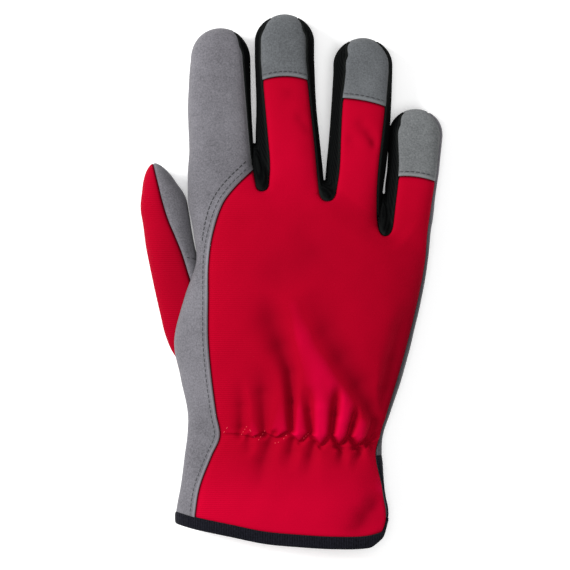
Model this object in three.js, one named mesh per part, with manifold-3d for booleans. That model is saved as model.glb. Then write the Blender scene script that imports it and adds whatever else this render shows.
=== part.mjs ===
// Insulated work glove for the right hand, lying palm down with the back of the hand up.
// Millimetres, +X to the little finger's side, +Y to the fingertips, +Z up from the surface that it lies on.
// The glove is one inflated skin of two sheets, back and palm, joined all round by a side wall that runs up and
// down every finger. Seam lines cut that skin into the sewn pieces, and each piece is thickened into its own solid.
import * as THREE from "three";
import { mergeVertices } from "three/addons/utils/BufferGeometryUtils.js";
import Module from "manifold-3d";

// Driving dimensions.
const WALL = 2.6; // outer cloth or leather and padded lining together
const SEAM_GAP = 0.36; // clearance between neighbouring pieces
const STRIP_INSET = 0.34; // how far the strips between the fingers stop short of their seams
const BINDING = { width: 5.6, proud: 0.7, start: 0.3 }; // black band folded over the cuff edge
const GATHER_Y = -72; // line of the elastic across the back of the wrist
const PINCH = { depth: 1.7, reach: 4.5 }; // how far the elastic pulls the back in, and over what length

// Rounding of the cross sections, as superellipse exponents, and of the joins between finger and hand.
const TOP_ROUND = 2.25;
const PALM_ROUND = 3;
const BLEND = 3.2;
const HAND_NOSE = 24; // length over which the hand closes between two fingers
const TIP_END = THREE.MathUtils.degToRad(62); // how far round a fingertip the side strips run
const TIP_SEAM = { top: 0.95, palm: 0.88 }; // where the seams end at a fingertip, as a share of its outline
const PALM_SEAM = 0.74; // palm seam of a finger, as a share of its half width
const STEEPEST = 0.95; // most that a back seam can be out towards the outline

// Hand sections: outline at the thumb's side and the little finger's, the seams of the red back panel,
// how far the grey leather turns over each edge, and the heights of the crown and of both side lines.
const HAND = [
  { y: -130, radial: -55.0, fold: 6, saddle: -48.6, seam: 45.3, ulnar: 45.9, top: 24.5, radialMid: 11.5, ulnarMid: 11 },
  { y: -112, radial: -54.2, fold: 6, saddle: -45.7, seam: 45.1, ulnar: 45.8, top: 24.5, radialMid: 11.5, ulnarMid: 11 },
  { y: -96, radial: -51.4, fold: 6, saddle: -43.2, seam: 42.9, ulnar: 43.9, top: 24.5, radialMid: 11.5, ulnarMid: 11 },
  { y: -81, radial: -49.5, fold: 6, saddle: -37.5, seam: 39.9, ulnar: 43.0, top: 25.0, radialMid: 12.0, ulnarMid: 11 },
  { y: -72, radial: -48.4, fold: 6, saddle: -33.7, seam: 41.2, ulnar: 43.2, top: 25.5, radialMid: 12.0, ulnarMid: 11 },
  { y: -62, radial: -48.1, fold: 6, saddle: -35.3, seam: 44.6, ulnar: 46.4, top: 27.0, radialMid: 12.5, ulnarMid: 11 },
  { y: -44, radial: -51.4, fold: 6, saddle: -37.6, seam: 50.3, ulnar: 52.4, top: 29.5, radialMid: 13.5, ulnarMid: 11 },
  { y: -27, radial: -54.4, fold: 6, saddle: -39.0, seam: 54.9, ulnar: 57.0, top: 31.0, radialMid: 15.0, ulnarMid: 11 },
  { y: -7, radial: -49.7, fold: 5, saddle: -39.0, seam: 60.0, ulnar: 61.6, top: 31.0, radialMid: 16.5, ulnarMid: 11 },
  { y: 9, radial: -43.9, fold: 3, saddle: -38.9, seam: 63.1, ulnar: 64.4, top: 30.0, radialMid: 17.0, ulnarMid: 11 },
  { y: 22, radial: -44.9, fold: 3, saddle: -37.0, seam: 64.4, ulnar: 65.6, top: 28.5, radialMid: 16.5, ulnarMid: 10.8 },
  { y: 36, radial: -47.9, fold: 3, saddle: -32.4, seam: 66.4, ulnar: 67.4, top: 27.0, radialMid: 15.0, ulnarMid: 10.4 },
  { y: 44, radial: -48.3, fold: 3, saddle: -26.6, seam: 67.7, ulnar: 68.6, top: 25.5, radialMid: 13.5, ulnarMid: 10.0 },
  { y: 53, radial: -47.8, fold: 3, saddle: -17.5, seam: 69.2, ulnar: 69.8, top: 24.5, radialMid: 12.0, ulnarMid: 9.6 },
];
const PALM_FOLD = 8; // how far in from the outline the palm sheet starts
const CUFF_LIFT = 1.6; // the cuff rests on its binding, so the skin clears the surface there
const REST = 0.9; // how much of the palm's roundness is pressed flat where it lies on the surface

// Line where the skin ends and the binding starts, across the cuff.
const CUFF = [
  { x: -56, y: -107.2 },
  { x: -45, y: -110.0 },
  { x: -27, y: -113.6 },
  { x: -12, y: -116.6 },
  { x: 4, y: -118.1 },
  { x: 20, y: -119.1 },
  { x: 36, y: -118.9 },
  { x: 46, y: -116.2 },
];

// Rows of the hand's panels from the cuff to the finger roots: their height up the glove on either side.
// They are closest together at the elastic, where the folds are. The first is the cuff's own edge.
const HAND_ROWS = [
  { radial: null, ulnar: null },
  { radial: -104, ulnar: -108 },
  { radial: -94, ulnar: -97 },
  { radial: -85, ulnar: -87 },
  { radial: -78.5, ulnar: -79.5 },
  { radial: -74.5, ulnar: -75 },
  { radial: -71.5, ulnar: -72 },
  { radial: -68.5, ulnar: -69 },
  { radial: -64, ulnar: -64.5 },
  { radial: -57, ulnar: -57 },
  { radial: -46, ulnar: -46 },
  { radial: -31, ulnar: -31 },
  { radial: -12, ulnar: -15 },
  { radial: 7, ulnar: 0 },
  { radial: 23, ulnar: 12 },
  { radial: 34, ulnar: 20 },
  { radial: 42, ulnar: 26.5 },
];
const RELAX = { from: 12, rounds: 14 }; // rows of the hand whose inner points are evened out

// Fingers, each with sections from its root up: middle line, half width, the seams of its back on either side,
// height of the side line, of the crown above it, and of the palm side above the surface.
const FINGERS = {
  index: {
    tip: 118.6,
    nose: 14.9,
    rows: [
      { y: 42.7, x: -32.9, half: 15.4, left: -45.8, right: -15.6, mid: 12.5, crown: 11.5, lift: 0.6 },
      { y: 53.0, x: -32.5, half: 15.3, left: -44.8, right: -17.5, mid: 12.0, crown: 11.0, lift: 1.2 },
      { y: 61.4, x: -32.3, half: 15.0, left: -44.5, right: -18.6, mid: 11.7, crown: 10.6, lift: 1.6 },
      { y: 82.9, x: -33.3, half: 14.9, left: -45.2, right: -20.5, mid: 11.2, crown: 10.2, lift: 1.6 },
      { y: 103.4, x: -32.7, half: 13.9, left: -43.8, right: -22.2, mid: 9.8, crown: 9.6, lift: 0.2 },
    ],
  },
  middle: {
    tip: 124.9,
    nose: 12.6,
    cap: { left: 94.6, centre: 96.3, right: 94.6 },
    rows: [
      { y: 41.8, x: 0.2, half: 15.8, left: -10.6, right: 13.6, mid: 11.8, crown: 12.0, lift: 0.6 },
      { y: 54.4, x: -0.6, half: 15.5, left: -10.0, right: 12.6, mid: 11.6, crown: 11.2, lift: 1.4 },
      { y: 67.9, x: -1.4, half: 14.9, left: -11.0, right: 11.3, mid: 11.4, crown: 10.6, lift: 1.9 },
      { y: 82.9, x: -2.0, half: 14.0, left: -12.4, right: 9.6, mid: 11.0, crown: 10.0, lift: 1.7 },
      { y: 103.4, x: -2.8, half: 13.9, left: -14.2, right: 7.5, mid: 9.8, crown: 9.5, lift: 0.2 },
    ],
  },
  ring: {
    tip: 113.9,
    nose: 12.6,
    cap: { left: 86.2, centre: 84.9, right: 82.2 },
    rows: [
      { y: 26.5, x: 27.6, half: 13.9, left: 20.2, right: 41.1, mid: 11.3, crown: 12.0, lift: 0.5 },
      { y: 40.4, x: 29.3, half: 13.7, left: 20.8, right: 40.8, mid: 11.2, crown: 11.4, lift: 1.0 },
      { y: 53.0, x: 30.7, half: 14.0, left: 22.5, right: 41.5, mid: 11.0, crown: 10.8, lift: 1.6 },
      { y: 67.9, x: 32.2, half: 14.1, left: 23.1, right: 43.2, mid: 10.8, crown: 10.2, lift: 1.7 },
      { y: 82.9, x: 33.2, half: 14.0, left: 23.9, right: 44.9, mid: 10.2, crown: 9.8, lift: 1.2 },
      { y: 97.8, x: 33.9, half: 13.8, left: 25.5, right: 46.3, mid: 9.4, crown: 9.2, lift: 0.2 },
    ],
  },
  little: {
    tip: 80.8,
    nose: 12.1,
    cap: { left: 49.7, centre: 49.4, right: 47.2 },
    rows: [
      { y: 26.0, x: 53.9, half: 12.3, left: 47.4, right: 65.0, mid: 10.7, crown: 10.8, lift: 0.4 },
      { y: 38.1, x: 55.8, half: 11.9, left: 48.8, right: 66.8, mid: 10.3, crown: 10.0, lift: 1.2 },
      { y: 45.5, x: 56.6, half: 12.2, left: 49.7, right: 68.0, mid: 10.0, crown: 9.6, lift: 1.3 },
      { y: 53.0, x: 57.6, half: 12.3, left: 50.3, right: 68.9, mid: 9.6, crown: 9.2, lift: 0.9 },
      { y: 67.9, x: 58.6, half: 12.6, left: 49.9, right: 70.3, mid: 9.0, crown: 8.6, lift: 0.2 },
    ],
  },
};

// Gaps between fingers: where the side strip turns, on the back seam, at mid height and on the palm seam.
// Each turn starts at its corner height and dips to its bottom.
const GAPS = [
  { from: "index", to: "middle", back: [45.2, 42.3], mid: [62.2, 61.5], palm: [57.0, 54.6] },
  { from: "middle", to: "ring", back: [41.8, 37.6], mid: [52.6, 51.6], palm: [48.6, 46.0] },
  { from: "ring", to: "little", back: [26.5, 21.4], mid: [39.6, 38.8], palm: [35.4, 33.0] },
];
const SQUEEZE = { length: 30, late: 1.6 }; // length of finger that takes up the turns' depths, most of it late
const APEX_Y = 53; // where the leather over the index meets the first gap
const APEX_STEP = 4.5; // first, shorter step up the index from there
const SADDLE_STEPS = 3; // steps along the seam that runs up to it from the hand's last row

// How far up the hand's own body reaches, across the glove.
const REACH = [
  { x: -50, y: 80 },
  { x: -38, y: 76 },
  { x: -16.7, y: 61.6 },
  { x: 15.8, y: 51.6 },
  { x: 43.3, y: 38.7 },
  { x: 52, y: 41 },
  { x: 64, y: 58 },
];

// Thumb: a tube that leans outwards from under the side of the hand, with sections by distance from its tip along
// a straight line: its edges and the seam along its back, all measured across that line, and its heights.
const THUMB = {
  tip: { x: -64.6, y: 55.1 },
  lean: THREE.MathUtils.degToRad(13.2),
  nose: 12,
  rows: [
    { d: 12, left: -9.3, right: 10.6, seam: 0.8, mid: 9.0, crown: 8.8, lift: 0.1 },
    { d: 18, left: -10.0, right: 11.6, seam: 0.7, mid: 9.3, crown: 9.1, lift: 0.1 },
    { d: 27.6, left: -11.0, right: 11.1, seam: 1.4, mid: 9.6, crown: 9.3, lift: 0.1 },
    { d: 36.6, left: -12.0, right: 10.4, seam: 3.0, mid: 9.8, crown: 9.3, lift: 0.1 },
    { d: 44.2, left: -12.3, right: 10.2, seam: 4.2, mid: 9.8, crown: 9.0, lift: 0.1 },
    { d: 56, left: -12.4, right: 11.6, seam: 5.0, mid: 9.6, crown: 8.2, lift: 0.1 },
    { d: 70.7, left: -12.6, right: 13.6, seam: 6.0, mid: 9.3, crown: 7.4, lift: 0.1 },
    { d: 80, left: -12.4, right: 14.2, seam: 6.5, mid: 9.2, crown: 6.8, lift: 0.6 },
    { d: 90, left: -10.4, right: 14.0, seam: 7.0, mid: 9.0, crown: 6.2, lift: 2.4 },
    { d: 104, left: -3.0, right: 12.0, seam: 7.0, mid: 9.0, crown: 5.0, lift: 4.5 },
  ],
};

// Folds of the gathered back: valley lines that start at the elastic, lean as they rise, and fade above and below.
const FOLDS = [
  { x: -21.5, lean: -0.1, depth: 1.2, width: 2.0, up: 9, down: 7 },
  { x: -13.6, lean: -0.05, depth: 1.3, width: 2.0, up: 11, down: 9 },
  { x: -1.4, lean: 0.0, depth: 1.7, width: 2.3, up: 20, down: 10 },
  { x: 7.5, lean: -0.12, depth: 1.4, width: 2.0, up: 13, down: 12 },
  { x: 14.9, lean: -0.3, depth: 1.5, width: 2.2, up: 15, down: 9 },
  { x: 22.8, lean: -0.25, depth: 1.6, width: 2.0, up: 14, down: 8 },
  { x: 31.6, lean: -0.45, depth: 1.6, width: 2.0, up: 12, down: 7 },
];
const DRAPE = { x: 14, lean: -0.62, depth: 0.9, width: 9, from: -58, to: -8 }; // broad soft fold over the hand

// Mesh counts: across each finger, round a gap's turn, across the leather strip at the index side, along a finger
// below and above its cap seam, along the index, over a tip, and down the side wall.
const COUNT = { across: 6, turn: 4, strip: 4, root: 4, cap: 5, index: 8, tip: 6, wall: 2 };

const COLOURS = {
  red_cloth: { color: 0xc4001f, roughness: 0.72 },
  grey_leather: { color: 0x85878c, roughness: 0.9 },
  black_knit: { color: 0x15171a, roughness: 0.85 },
  black_tape: { color: 0x1b1e24, roughness: 0.75 },
};

const mix = THREE.MathUtils.lerp;

// A smooth function through one column of a table: cubic pieces with the slopes of the neighbouring rows.
function curveOf(rows, column, along = "y") {
  const at = rows.map((row) => row[along]);
  const value = rows.map((row) => row[column]);
  const last = rows.length - 1;
  const slope = rows.map((_, i) => {
    const a = Math.max(i - 1, 0);
    const b = Math.min(i + 1, last);
    return (value[b] - value[a]) / (at[b] - at[a]);
  });
  return (v) => {
    if (v <= at[0]) return value[0];
    if (v >= at[last]) return value[last];
    const i = at.findIndex((x) => x >= v) - 1;
    const span = at[i + 1] - at[i];
    const t = (v - at[i]) / span;
    const rise = t * t * (3 - 2 * t);
    return (
      mix(value[i], value[i + 1], rise) +
      span * t * (1 - t) * (slope[i] * (1 - t) - slope[i + 1] * t)
    );
  };
}

function curvesOf(rows, along = "y") {
  const columns = Object.keys(rows[0]).filter((column) => column !== along);
  return Object.fromEntries(columns.map((column) => [column, curveOf(rows, column, along)]));
}

const hand = curvesOf(HAND);
const cuffY = curveOf(CUFF, "y", "x");
const reachY = curveOf(REACH, "y", "x");
const thumb = curvesOf(THUMB.rows, "d");
const fingers = Object.fromEntries(
  Object.entries(FINGERS).map(([name, f]) => [name, { ...f, name, noseY: f.tip - f.nose, at: curvesOf(f.rows) }]),
);

// Height of a rounded section: 1 in its middle and 0 at its outline, falling on outside it.
function dome(r, exponent) {
  return r < 1 ? (1 - r ** exponent) ** (1 / exponent) : 2 * (1 - r);
}

function softMax(a, b) {
  const near = Math.max(BLEND - Math.abs(a - b), 0) / BLEND;
  return Math.max(a, b) + (near * near * BLEND) / 4;
}

// Share of the way from a finger's middle line to its outline.
function fingerShare(f, x, y) {
  const across = (x - f.at.x(y)) / f.at.half(y);
  return y <= f.noseY ? Math.abs(across) : Math.hypot(across, (y - f.noseY) / f.nose);
}

function handShare(x, y) {
  const radial = hand.radial(y);
  const ulnar = hand.ulnar(y);
  const across = Math.abs((2 * x - radial - ulnar) / (ulnar - radial));
  const along = Math.max(0, 1 + (y - reachY(x)) / HAND_NOSE);
  return Math.hypot(across ** 1.4, along ** 1.4) ** (1 / 1.4);
}

function handMid(x, y) {
  const radial = hand.radial(y);
  const share = THREE.MathUtils.clamp((x - radial) / (hand.ulnar(y) - radial), 0, 1);
  return mix(hand.radialMid(y), hand.ulnarMid(y), share);
}

// Height of the back sheet and of the palm sheet over a point of the plan.
function backHeight(x, y) {
  const crown = hand.top(y) - (hand.radialMid(y) + hand.ulnarMid(y)) / 2;
  let z = handMid(x, y) + crown * dome(handShare(x, y), TOP_ROUND);
  for (const f of Object.values(fingers)) {
    const rise = THREE.MathUtils.smoothstep(y, f.rows[0].y - 30, f.rows[0].y);
    z = softMax(z, f.at.mid(y) + f.at.crown(y) * dome(fingerShare(f, x, y), TOP_ROUND) * rise);
  }
  return z - PINCH.depth * Math.exp(-(((y - GATHER_Y) / PINCH.reach) ** 2));
}

function palmHeight(x, y) {
  const lift = CUFF_LIFT * (1 - THREE.MathUtils.smoothstep(y, -112, -96));
  const mid = handMid(x, y);
  let z = mid - (mid - lift) * dome(handShare(x, y), PALM_ROUND);
  for (const f of Object.values(fingers)) {
    const fade = THREE.MathUtils.smoothstep(y, f.rows[0].y - 14, f.rows[0].y);
    const depth = (f.at.mid(y) - f.at.lift(y)) * dome(fingerShare(f, x, y), PALM_ROUND) * fade;
    z = -softMax(-z, depth - f.at.mid(y));
  }
  return Math.max(z - REST, 0);
}

// A station of the side wall: its back seam, its outline at mid height and its palm seam in plan, and how
// rounded the wall is above and below, as the share of the section at which each seam lies.
function station(back, outline, palm, mid, backShare, palmShare) {
  return { back, outline, palm, mid, backShare: Math.min(backShare, STEEPEST), palmShare };
}

// Stations up one side of a finger, by distance up the glove and then round the tip. turn gives the corner
// heights of the gap beside it, so that seams at different depths share their stations.
function fingerStation(f, side, q, turn) {
  const seamX = side < 0 ? f.at.left : f.at.right;
  if (q > f.noseY) return tipStation(f, side > 0 ? (q - f.noseY) / f.nose : Math.PI - (q - f.noseY) / f.nose);
  const taken = (depth) => {
    const end = turn ? turn.back[0] + SQUEEZE.length : q;
    return q >= end ? q : mix(depth, end, (1 - (end - q) / SQUEEZE.length) ** SQUEEZE.late);
  };
  const outlineY = taken(turn?.mid[0]);
  const palmY = taken(turn?.palm[0]);
  return station(
    [seamX(q), q],
    [f.at.x(outlineY) + side * f.at.half(outlineY), outlineY],
    [f.at.x(palmY) + side * f.at.half(palmY) * PALM_SEAM, palmY],
    f.at.mid(outlineY),
    Math.abs(seamX(q) - f.at.x(q)) / f.at.half(q),
    PALM_SEAM,
  );
}

// Stations round a fingertip, by the angle from its right side.
function tipStation(f, angle) {
  const centre = f.at.x(f.noseY);
  const half = f.at.half(f.noseY);
  const seamX = Math.cos(angle) < 0 ? f.at.left(f.noseY) : f.at.right(f.noseY);
  const round = Math.min(angle, Math.PI - angle);
  const late = THREE.MathUtils.smoothstep(round, TIP_END * 0.45, TIP_END);
  const backShare = mix(Math.abs(seamX - centre) / half, TIP_SEAM.top, late);
  const palmShare = mix(PALM_SEAM, TIP_SEAM.palm, late);
  const point = (share) => [
    centre + share * half * Math.cos(angle),
    f.noseY + share * f.nose * Math.sin(angle),
  ];
  return station(point(backShare), point(1), point(palmShare), f.at.mid(f.noseY + f.nose), backShare, palmShare);
}

// Stations round the bottom of a gap, as half ellipses between the two fingers' last stations.
function turnStations(gap, first, last) {
  const bend = (a, b, depth, t) => [
    mix(a[0], b[0], (1 - Math.cos(Math.PI * t)) / 2),
    mix(a[1], b[1], t) - depth * Math.sin(Math.PI * t),
  ];
  return Array.from({ length: COUNT.turn + 1 }, (_, i) => {
    const t = i / COUNT.turn;
    const deep = Math.sin(Math.PI * t);
    return station(
      bend(first.back, last.back, gap.back[0] - gap.back[1], t),
      bend(first.outline, last.outline, gap.mid[0] - gap.mid[1], t),
      bend(first.palm, last.palm, gap.palm[0] - gap.palm[1], t),
      mix(first.mid, last.mid, t),
      mix(mix(first.backShare, last.backShare, t), 0.3, deep),
      mix(mix(first.palmShare, last.palmShare, t), 0.3, deep),
    );
  });
}

// Where a line that runs up the glove meets the cuff's edge.
function cuffPoint(xAt) {
  let y = CUFF[0].y;
  for (let i = 0; i < 6; i++) y = cuffY(xAt(y));
  return [xAt(y), cuffY(xAt(y))];
}

// Stations along the hand's own edges, at a height up the glove, or on the cuff's edge if that is null.
function edgeStation(side, height) {
  const outline = side < 0 ? hand.radial : hand.ulnar;
  const seam = side < 0 ? (y) => hand.radial(y) + hand.fold(y) : hand.seam;
  const halfway = side < 0 ? [20, 53] : [5, 26.5];
  const palmFold = (y) => mix(PALM_FOLD, PALM_FOLD / 2, THREE.MathUtils.smoothstep(y, ...halfway));
  const point = (xAt) => (height === null ? cuffPoint(xAt) : [xAt(height), height]);
  const y = point(outline)[1];
  const half = (hand.ulnar(y) - hand.radial(y)) / 2;
  return station(
    point(seam),
    point(outline),
    point((v) => outline(v) - side * palmFold(v)),
    side < 0 ? hand.radialMid(y) : hand.ulnarMid(y),
    1 - Math.abs(seam(y) - outline(y)) / half,
    1 - palmFold(y) / half,
  );
}

// Evenly spaced values, with both ends.
function steps(from, to, count) {
  return Array.from({ length: count + 1 }, (_, i) => mix(from, to, i / count));
}

// Rows of a finger's arm from its root to the cap seam and on to the tip.
function armRows(f, side, root) {
  const end = f.noseY + f.nose * TIP_END;
  if (!f.cap) return [root, ...steps(root + APEX_STEP, end, COUNT.index - 1)];
  const seam = side < 0 ? f.cap.left : f.cap.right;
  return [...steps(root, seam, COUNT.root), ...steps(seam, end, COUNT.cap).slice(1)];
}

const arm = (f, side, root, turn) => armRows(f, side, root).map((q) => fingerStation(f, side, q, turn));
const tipArc = (f) => steps(Math.PI - TIP_END, TIP_END, COUNT.tip).map((angle) => tipStation(f, angle));

const { index, middle, ring, little } = fingers;
const walls = {
  radial: HAND_ROWS.map((row) => edgeStation(-1, row.radial)),
  ulnar: HAND_ROWS.map((row) => edgeStation(1, row.ulnar)),
  indexLeft: arm(index, -1, APEX_Y),
  indexRight: arm(index, 1, APEX_Y, GAPS[0]),
  middleLeft: arm(middle, -1, GAPS[0].back[0], GAPS[0]),
  middleRight: arm(middle, 1, GAPS[1].back[0], GAPS[1]),
  ringLeft: arm(ring, -1, GAPS[1].back[0], GAPS[1]),
  ringRight: arm(ring, 1, GAPS[2].back[0], GAPS[2]),
  littleLeft: arm(little, -1, GAPS[2].back[0], GAPS[2]),
  littleRight: arm(little, 1, HAND_ROWS.at(-1).ulnar),
};
// The hand's edges run into the outer arms of the index and the little finger.
const saddleRise = steps(HAND_ROWS.at(-1).radial, APEX_Y, SADDLE_STEPS);
walls.indexLeft.splice(0, 1, ...saddleRise.map((y) => edgeStation(-1, y)));
walls.littleRight[0] = walls.ulnar.at(-1);

const apexRun = steps(APEX_Y, GAPS[0].back[0], SADDLE_STEPS).map((q) => fingerStation(index, 1, q, GAPS[0]));
const turns = [
  [...apexRun, ...turnStations(GAPS[0], apexRun.at(-1), walls.middleLeft[0]).slice(1)],
  turnStations(GAPS[1], walls.middleRight[0], walls.ringLeft[0]),
  turnStations(GAPS[2], walls.ringRight[0], walls.littleLeft[0]),
];

// The skin: every vertex once, and for each sewn piece the quads that it covers.
const skin = { points: [], found: new Map(), pieces: {} };

function vertex(x, y, z) {
  const key = [x, y, z].map((v) => Math.round(v * 200)).join(",");
  if (!skin.found.has(key)) {
    skin.found.set(key, skin.points.length);
    skin.points.push(new THREE.Vector3(x, y, z));
  }
  return skin.found.get(key);
}

// Adds a grid of vertex numbers to a piece, rows by columns, with its faces turned over if asked.
function addGrid(piece, grid, turnOver = false) {
  skin.pieces[piece] ??= [];
  for (let j = 0; j + 1 < grid.length; j++)
    for (let i = 0; i + 1 < grid[j].length; i++) {
      const quad = [grid[j][i], grid[j][i + 1], grid[j + 1][i + 1], grid[j + 1][i]];
      skin.pieces[piece].push(turnOver ? quad.reverse() : quad);
    }
}

// Lengths along a line of plan points, as shares of the whole.
function shares(line) {
  const run = [0];
  for (let i = 1; i < line.length; i++)
    run.push(run[i - 1] + Math.hypot(line[i][0] - line[i - 1][0], line[i][1] - line[i - 1][1]));
  return run.map((r) => r / run.at(-1));
}

// Evens out a panel's plan from one row on, by moving each inner point to the middle of its neighbours.
function relax(plan, from) {
  for (let n = 0; n < RELAX.rounds; n++)
    for (let j = from; j + 1 < plan.length; j++)
      for (let i = 1; i + 1 < plan[j].length; i++) {
        const near = [plan[j - 1][i], plan[j + 1][i], plan[j][i - 1], plan[j][i + 1]];
        plan[j][i] = [0, 1].map((k) => near.reduce((sum, p) => sum + p[k] / near.length, 0));
      }
}

// A panel between four edges in plan, given left, right, bottom and top, laid on the back or the palm sheet.
function panel(piece, [left, right, bottom, top], { palm = false, relaxFrom = Infinity } = {}) {
  const meanShares = (a, b) => shares(a).map((s, i) => (s + shares(b)[i]) / 2);
  const us = meanShares(bottom, top);
  const vs = meanShares(left, right);
  const corner = (u, v, k) =>
    (1 - u) * (1 - v) * left[0][k] +
    u * (1 - v) * right[0][k] +
    (1 - u) * v * left.at(-1)[k] +
    u * v * right.at(-1)[k];
  const plan = vs.map((v, j) =>
    us.map((u, i) =>
      [0, 1].map((k) => mix(left[j][k], right[j][k], u) + mix(bottom[i][k], top[i][k], v) - corner(u, v, k)),
    ),
  );
  relax(plan, relaxFrom);
  const height = palm ? palmHeight : backHeight;
  const grid = plan.map((row) => row.map(([x, y]) => vertex(x, y, height(x, y))));
  addGrid(piece, grid, palm);
  return grid;
}

// A stretch of the side wall, rounded from the back seam out to the outline and in to the palm seam.
function sideWall(piece, stations) {
  const quarter = (s, seam, share, exponent, seamZ, t) => {
    const full = Math.acos(share ** (exponent / 2));
    const r = Math.cos(full * t) ** (2 / exponent);
    const out = (1 - r) / (1 - share);
    const up = ((1 - r ** exponent) / (1 - share ** exponent)) ** (1 / exponent);
    return vertex(
      mix(s.outline[0], seam[0], out),
      mix(s.outline[1], seam[1], out),
      mix(s.mid, seamZ, up),
    );
  };
  const grid = stations.map((s) => {
    const backZ = backHeight(...s.back);
    const palmZ = palmHeight(...s.palm);
    const upper = steps(1, 0, COUNT.wall).map((t) => quarter(s, s.back, s.backShare, TOP_ROUND, backZ, t));
    const lower = steps(0, 1, COUNT.wall).map((t) => quarter(s, s.palm, s.palmShare, PALM_ROUND, palmZ, t));
    return [...upper, ...lower.slice(1)];
  });
  addGrid(piece, grid, true);
  return grid;
}

const backOf = (stations) => stations.map((s) => s.back);
const palmOf = (stations) => stations.map((s) => s.palm);
// A straight run of plan points between two ends, and a bowed one through a middle height.
const straight = (a, b, count) => steps(0, 1, count).map((t) => [mix(a[0], b[0], t), mix(a[1], b[1], t)]);
const bowed = (a, b, centre, count) =>
  straight(a, b, count).map(([x, y], i) => {
    const t = i / count;
    return [x, y + 4 * t * (1 - t) * (centre - (a[1] + b[1]) / 2)];
  });
const cuffRun = (from, to, count) => steps(from, to, count).map((x) => [x, cuffY(x)]);
// Chains of plan points whose ends meet.
const join = (...lines) => lines.flatMap((line, i) => (i ? line.slice(1) : line));

// The back: leather strip beside the thumb and over the index, then the red panel and the fingertip caps.
const saddle = HAND_ROWS.map(({ radial }) =>
  radial === null ? cuffPoint(hand.saddle) : [hand.saddle(radial), radial],
);
const saddleEnd = saddleRise.map((y) => [hand.saddle(y), y]);
const radialBack = backOf(walls.radial);
const ulnarBack = backOf(walls.ulnar);
const indexRoot = straight(radialBack.at(-1), saddle.at(-1), COUNT.strip);
const stripCuff = cuffRun(radialBack[0][0], saddle[0][0], COUNT.strip);
const tipLine = (f, seam, count) =>
  steps(Math.PI - TIP_END, TIP_END, count).map((angle) => tipStation(f, angle)[seam]);
const grids = {};
grids.strip = panel("palm_panel", [radialBack, saddle, stripCuff, indexRoot]);
panel("palm_panel", [
  backOf(walls.indexLeft),
  join(saddleEnd, backOf(walls.indexRight)),
  indexRoot,
  tipLine(index, "back", COUNT.strip),
]);

const sides = {
  middle: [walls.middleLeft, walls.middleRight],
  ring: [walls.ringLeft, walls.ringRight],
  little: [walls.littleLeft, walls.littleRight],
};
const roots = {};
for (const [name, [left, right]] of Object.entries(sides)) {
  const f = fingers[name];
  roots[name] = straight(left[0].back, right[0].back, COUNT.across);
  const seam = bowed(left[COUNT.root].back, right[COUNT.root].back, f.cap.centre, COUNT.across);
  const upTo = (side) => backOf(side.slice(0, COUNT.root + 1));
  const from = (side) => backOf(side.slice(COUNT.root));
  panel("back_panel", [upTo(left), upTo(right), roots[name], seam]);
  panel(`${name}_fingertip_cap`, [from(left), from(right), seam, tipLine(f, "back", COUNT.tip)]);
}
const backTop = join(
  saddleEnd,
  backOf(turns[0]),
  roots.middle,
  backOf(turns[1]),
  roots.ring,
  backOf(turns[2]),
  roots.little,
);
const backCuff = cuffRun(saddle[0][0], ulnarBack[0][0], backTop.length - 1);
grids.back = panel("back_panel", [saddle, ulnarBack, backCuff, backTop], { relaxFrom: RELAX.from });

// The palm: one leather sheet under the hand and all four fingers.
sides.index = [walls.indexLeft, join([...apexRun].reverse(), walls.indexRight)];
const palmRoots = {};
for (const [name, [left, right]] of Object.entries(sides)) {
  const count = name === "index" ? COUNT.strip : COUNT.across;
  palmRoots[name] = straight(left[0].palm, right[0].palm, count);
  const tip = tipLine(fingers[name], "palm", count);
  panel("palm_panel", [palmOf(left), palmOf(right), palmRoots[name], tip], { palm: true });
}
const palmTop = join(
  palmRoots.index,
  palmOf(turns[0].slice(SADDLE_STEPS)),
  palmRoots.middle,
  palmOf(turns[1]),
  palmRoots.ring,
  palmOf(turns[2]),
  palmRoots.little,
);
const radialPalm = palmOf(walls.radial);
const ulnarPalm = palmOf(walls.ulnar);
const palmCuff = cuffRun(radialPalm[0][0], ulnarPalm[0][0], palmTop.length - 1);
grids.palm = panel("palm_panel", [radialPalm, ulnarPalm, palmCuff, palmTop], { palm: true, relaxFrom: RELAX.from });

// The side wall, clockwise round the glove from the cuff: leather at both edges, a black strip in each gap.
const indexTip = steps(Math.PI - TIP_END, TIP_END, COUNT.strip).map((angle) => tipStation(index, angle));
grids.radial = sideWall("palm_panel", walls.radial);
sideWall("palm_panel", walls.indexLeft);
sideWall("palm_panel", indexTip);
const STRIPS = ["index_middle_strip", "middle_ring_strip", "ring_little_strip"];
const stripArms = [
  [walls.indexRight, walls.middleLeft],
  [walls.middleRight, walls.ringLeft],
  [walls.ringRight, walls.littleLeft],
];
STRIPS.forEach((name, i) => {
  sideWall(name, join([...stripArms[i][0]].reverse(), turns[i], stripArms[i][1]));
});
const CAPPED = ["middle", "ring", "little"];
for (const name of CAPPED) sideWall(`${name}_fingertip_cap`, tipArc(fingers[name]));
sideWall("palm_panel", [...walls.littleRight].reverse());
grids.ulnar = sideWall("palm_panel", [...walls.ulnar].reverse());

// Outward normals of the whole skin, so that neighbouring pieces thicken the same way at their seam.
function skinNormals() {
  const normals = skin.points.map(() => new THREE.Vector3());
  for (const quad of Object.values(skin.pieces).flat())
    quad.forEach((i, k) => {
      const [before, next] = [quad[(k + 3) % 4], quad[(k + 1) % 4]];
      const a = skin.points[next].clone().sub(skin.points[i]);
      const b = skin.points[before].clone().sub(skin.points[i]);
      const face = new THREE.Vector3().crossVectors(a, b).normalize();
      normals[i].addScaledVector(face, a.angleTo(b));
    });
  return normals.map((n) => n.normalize());
}
const normals = skinNormals();

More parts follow.
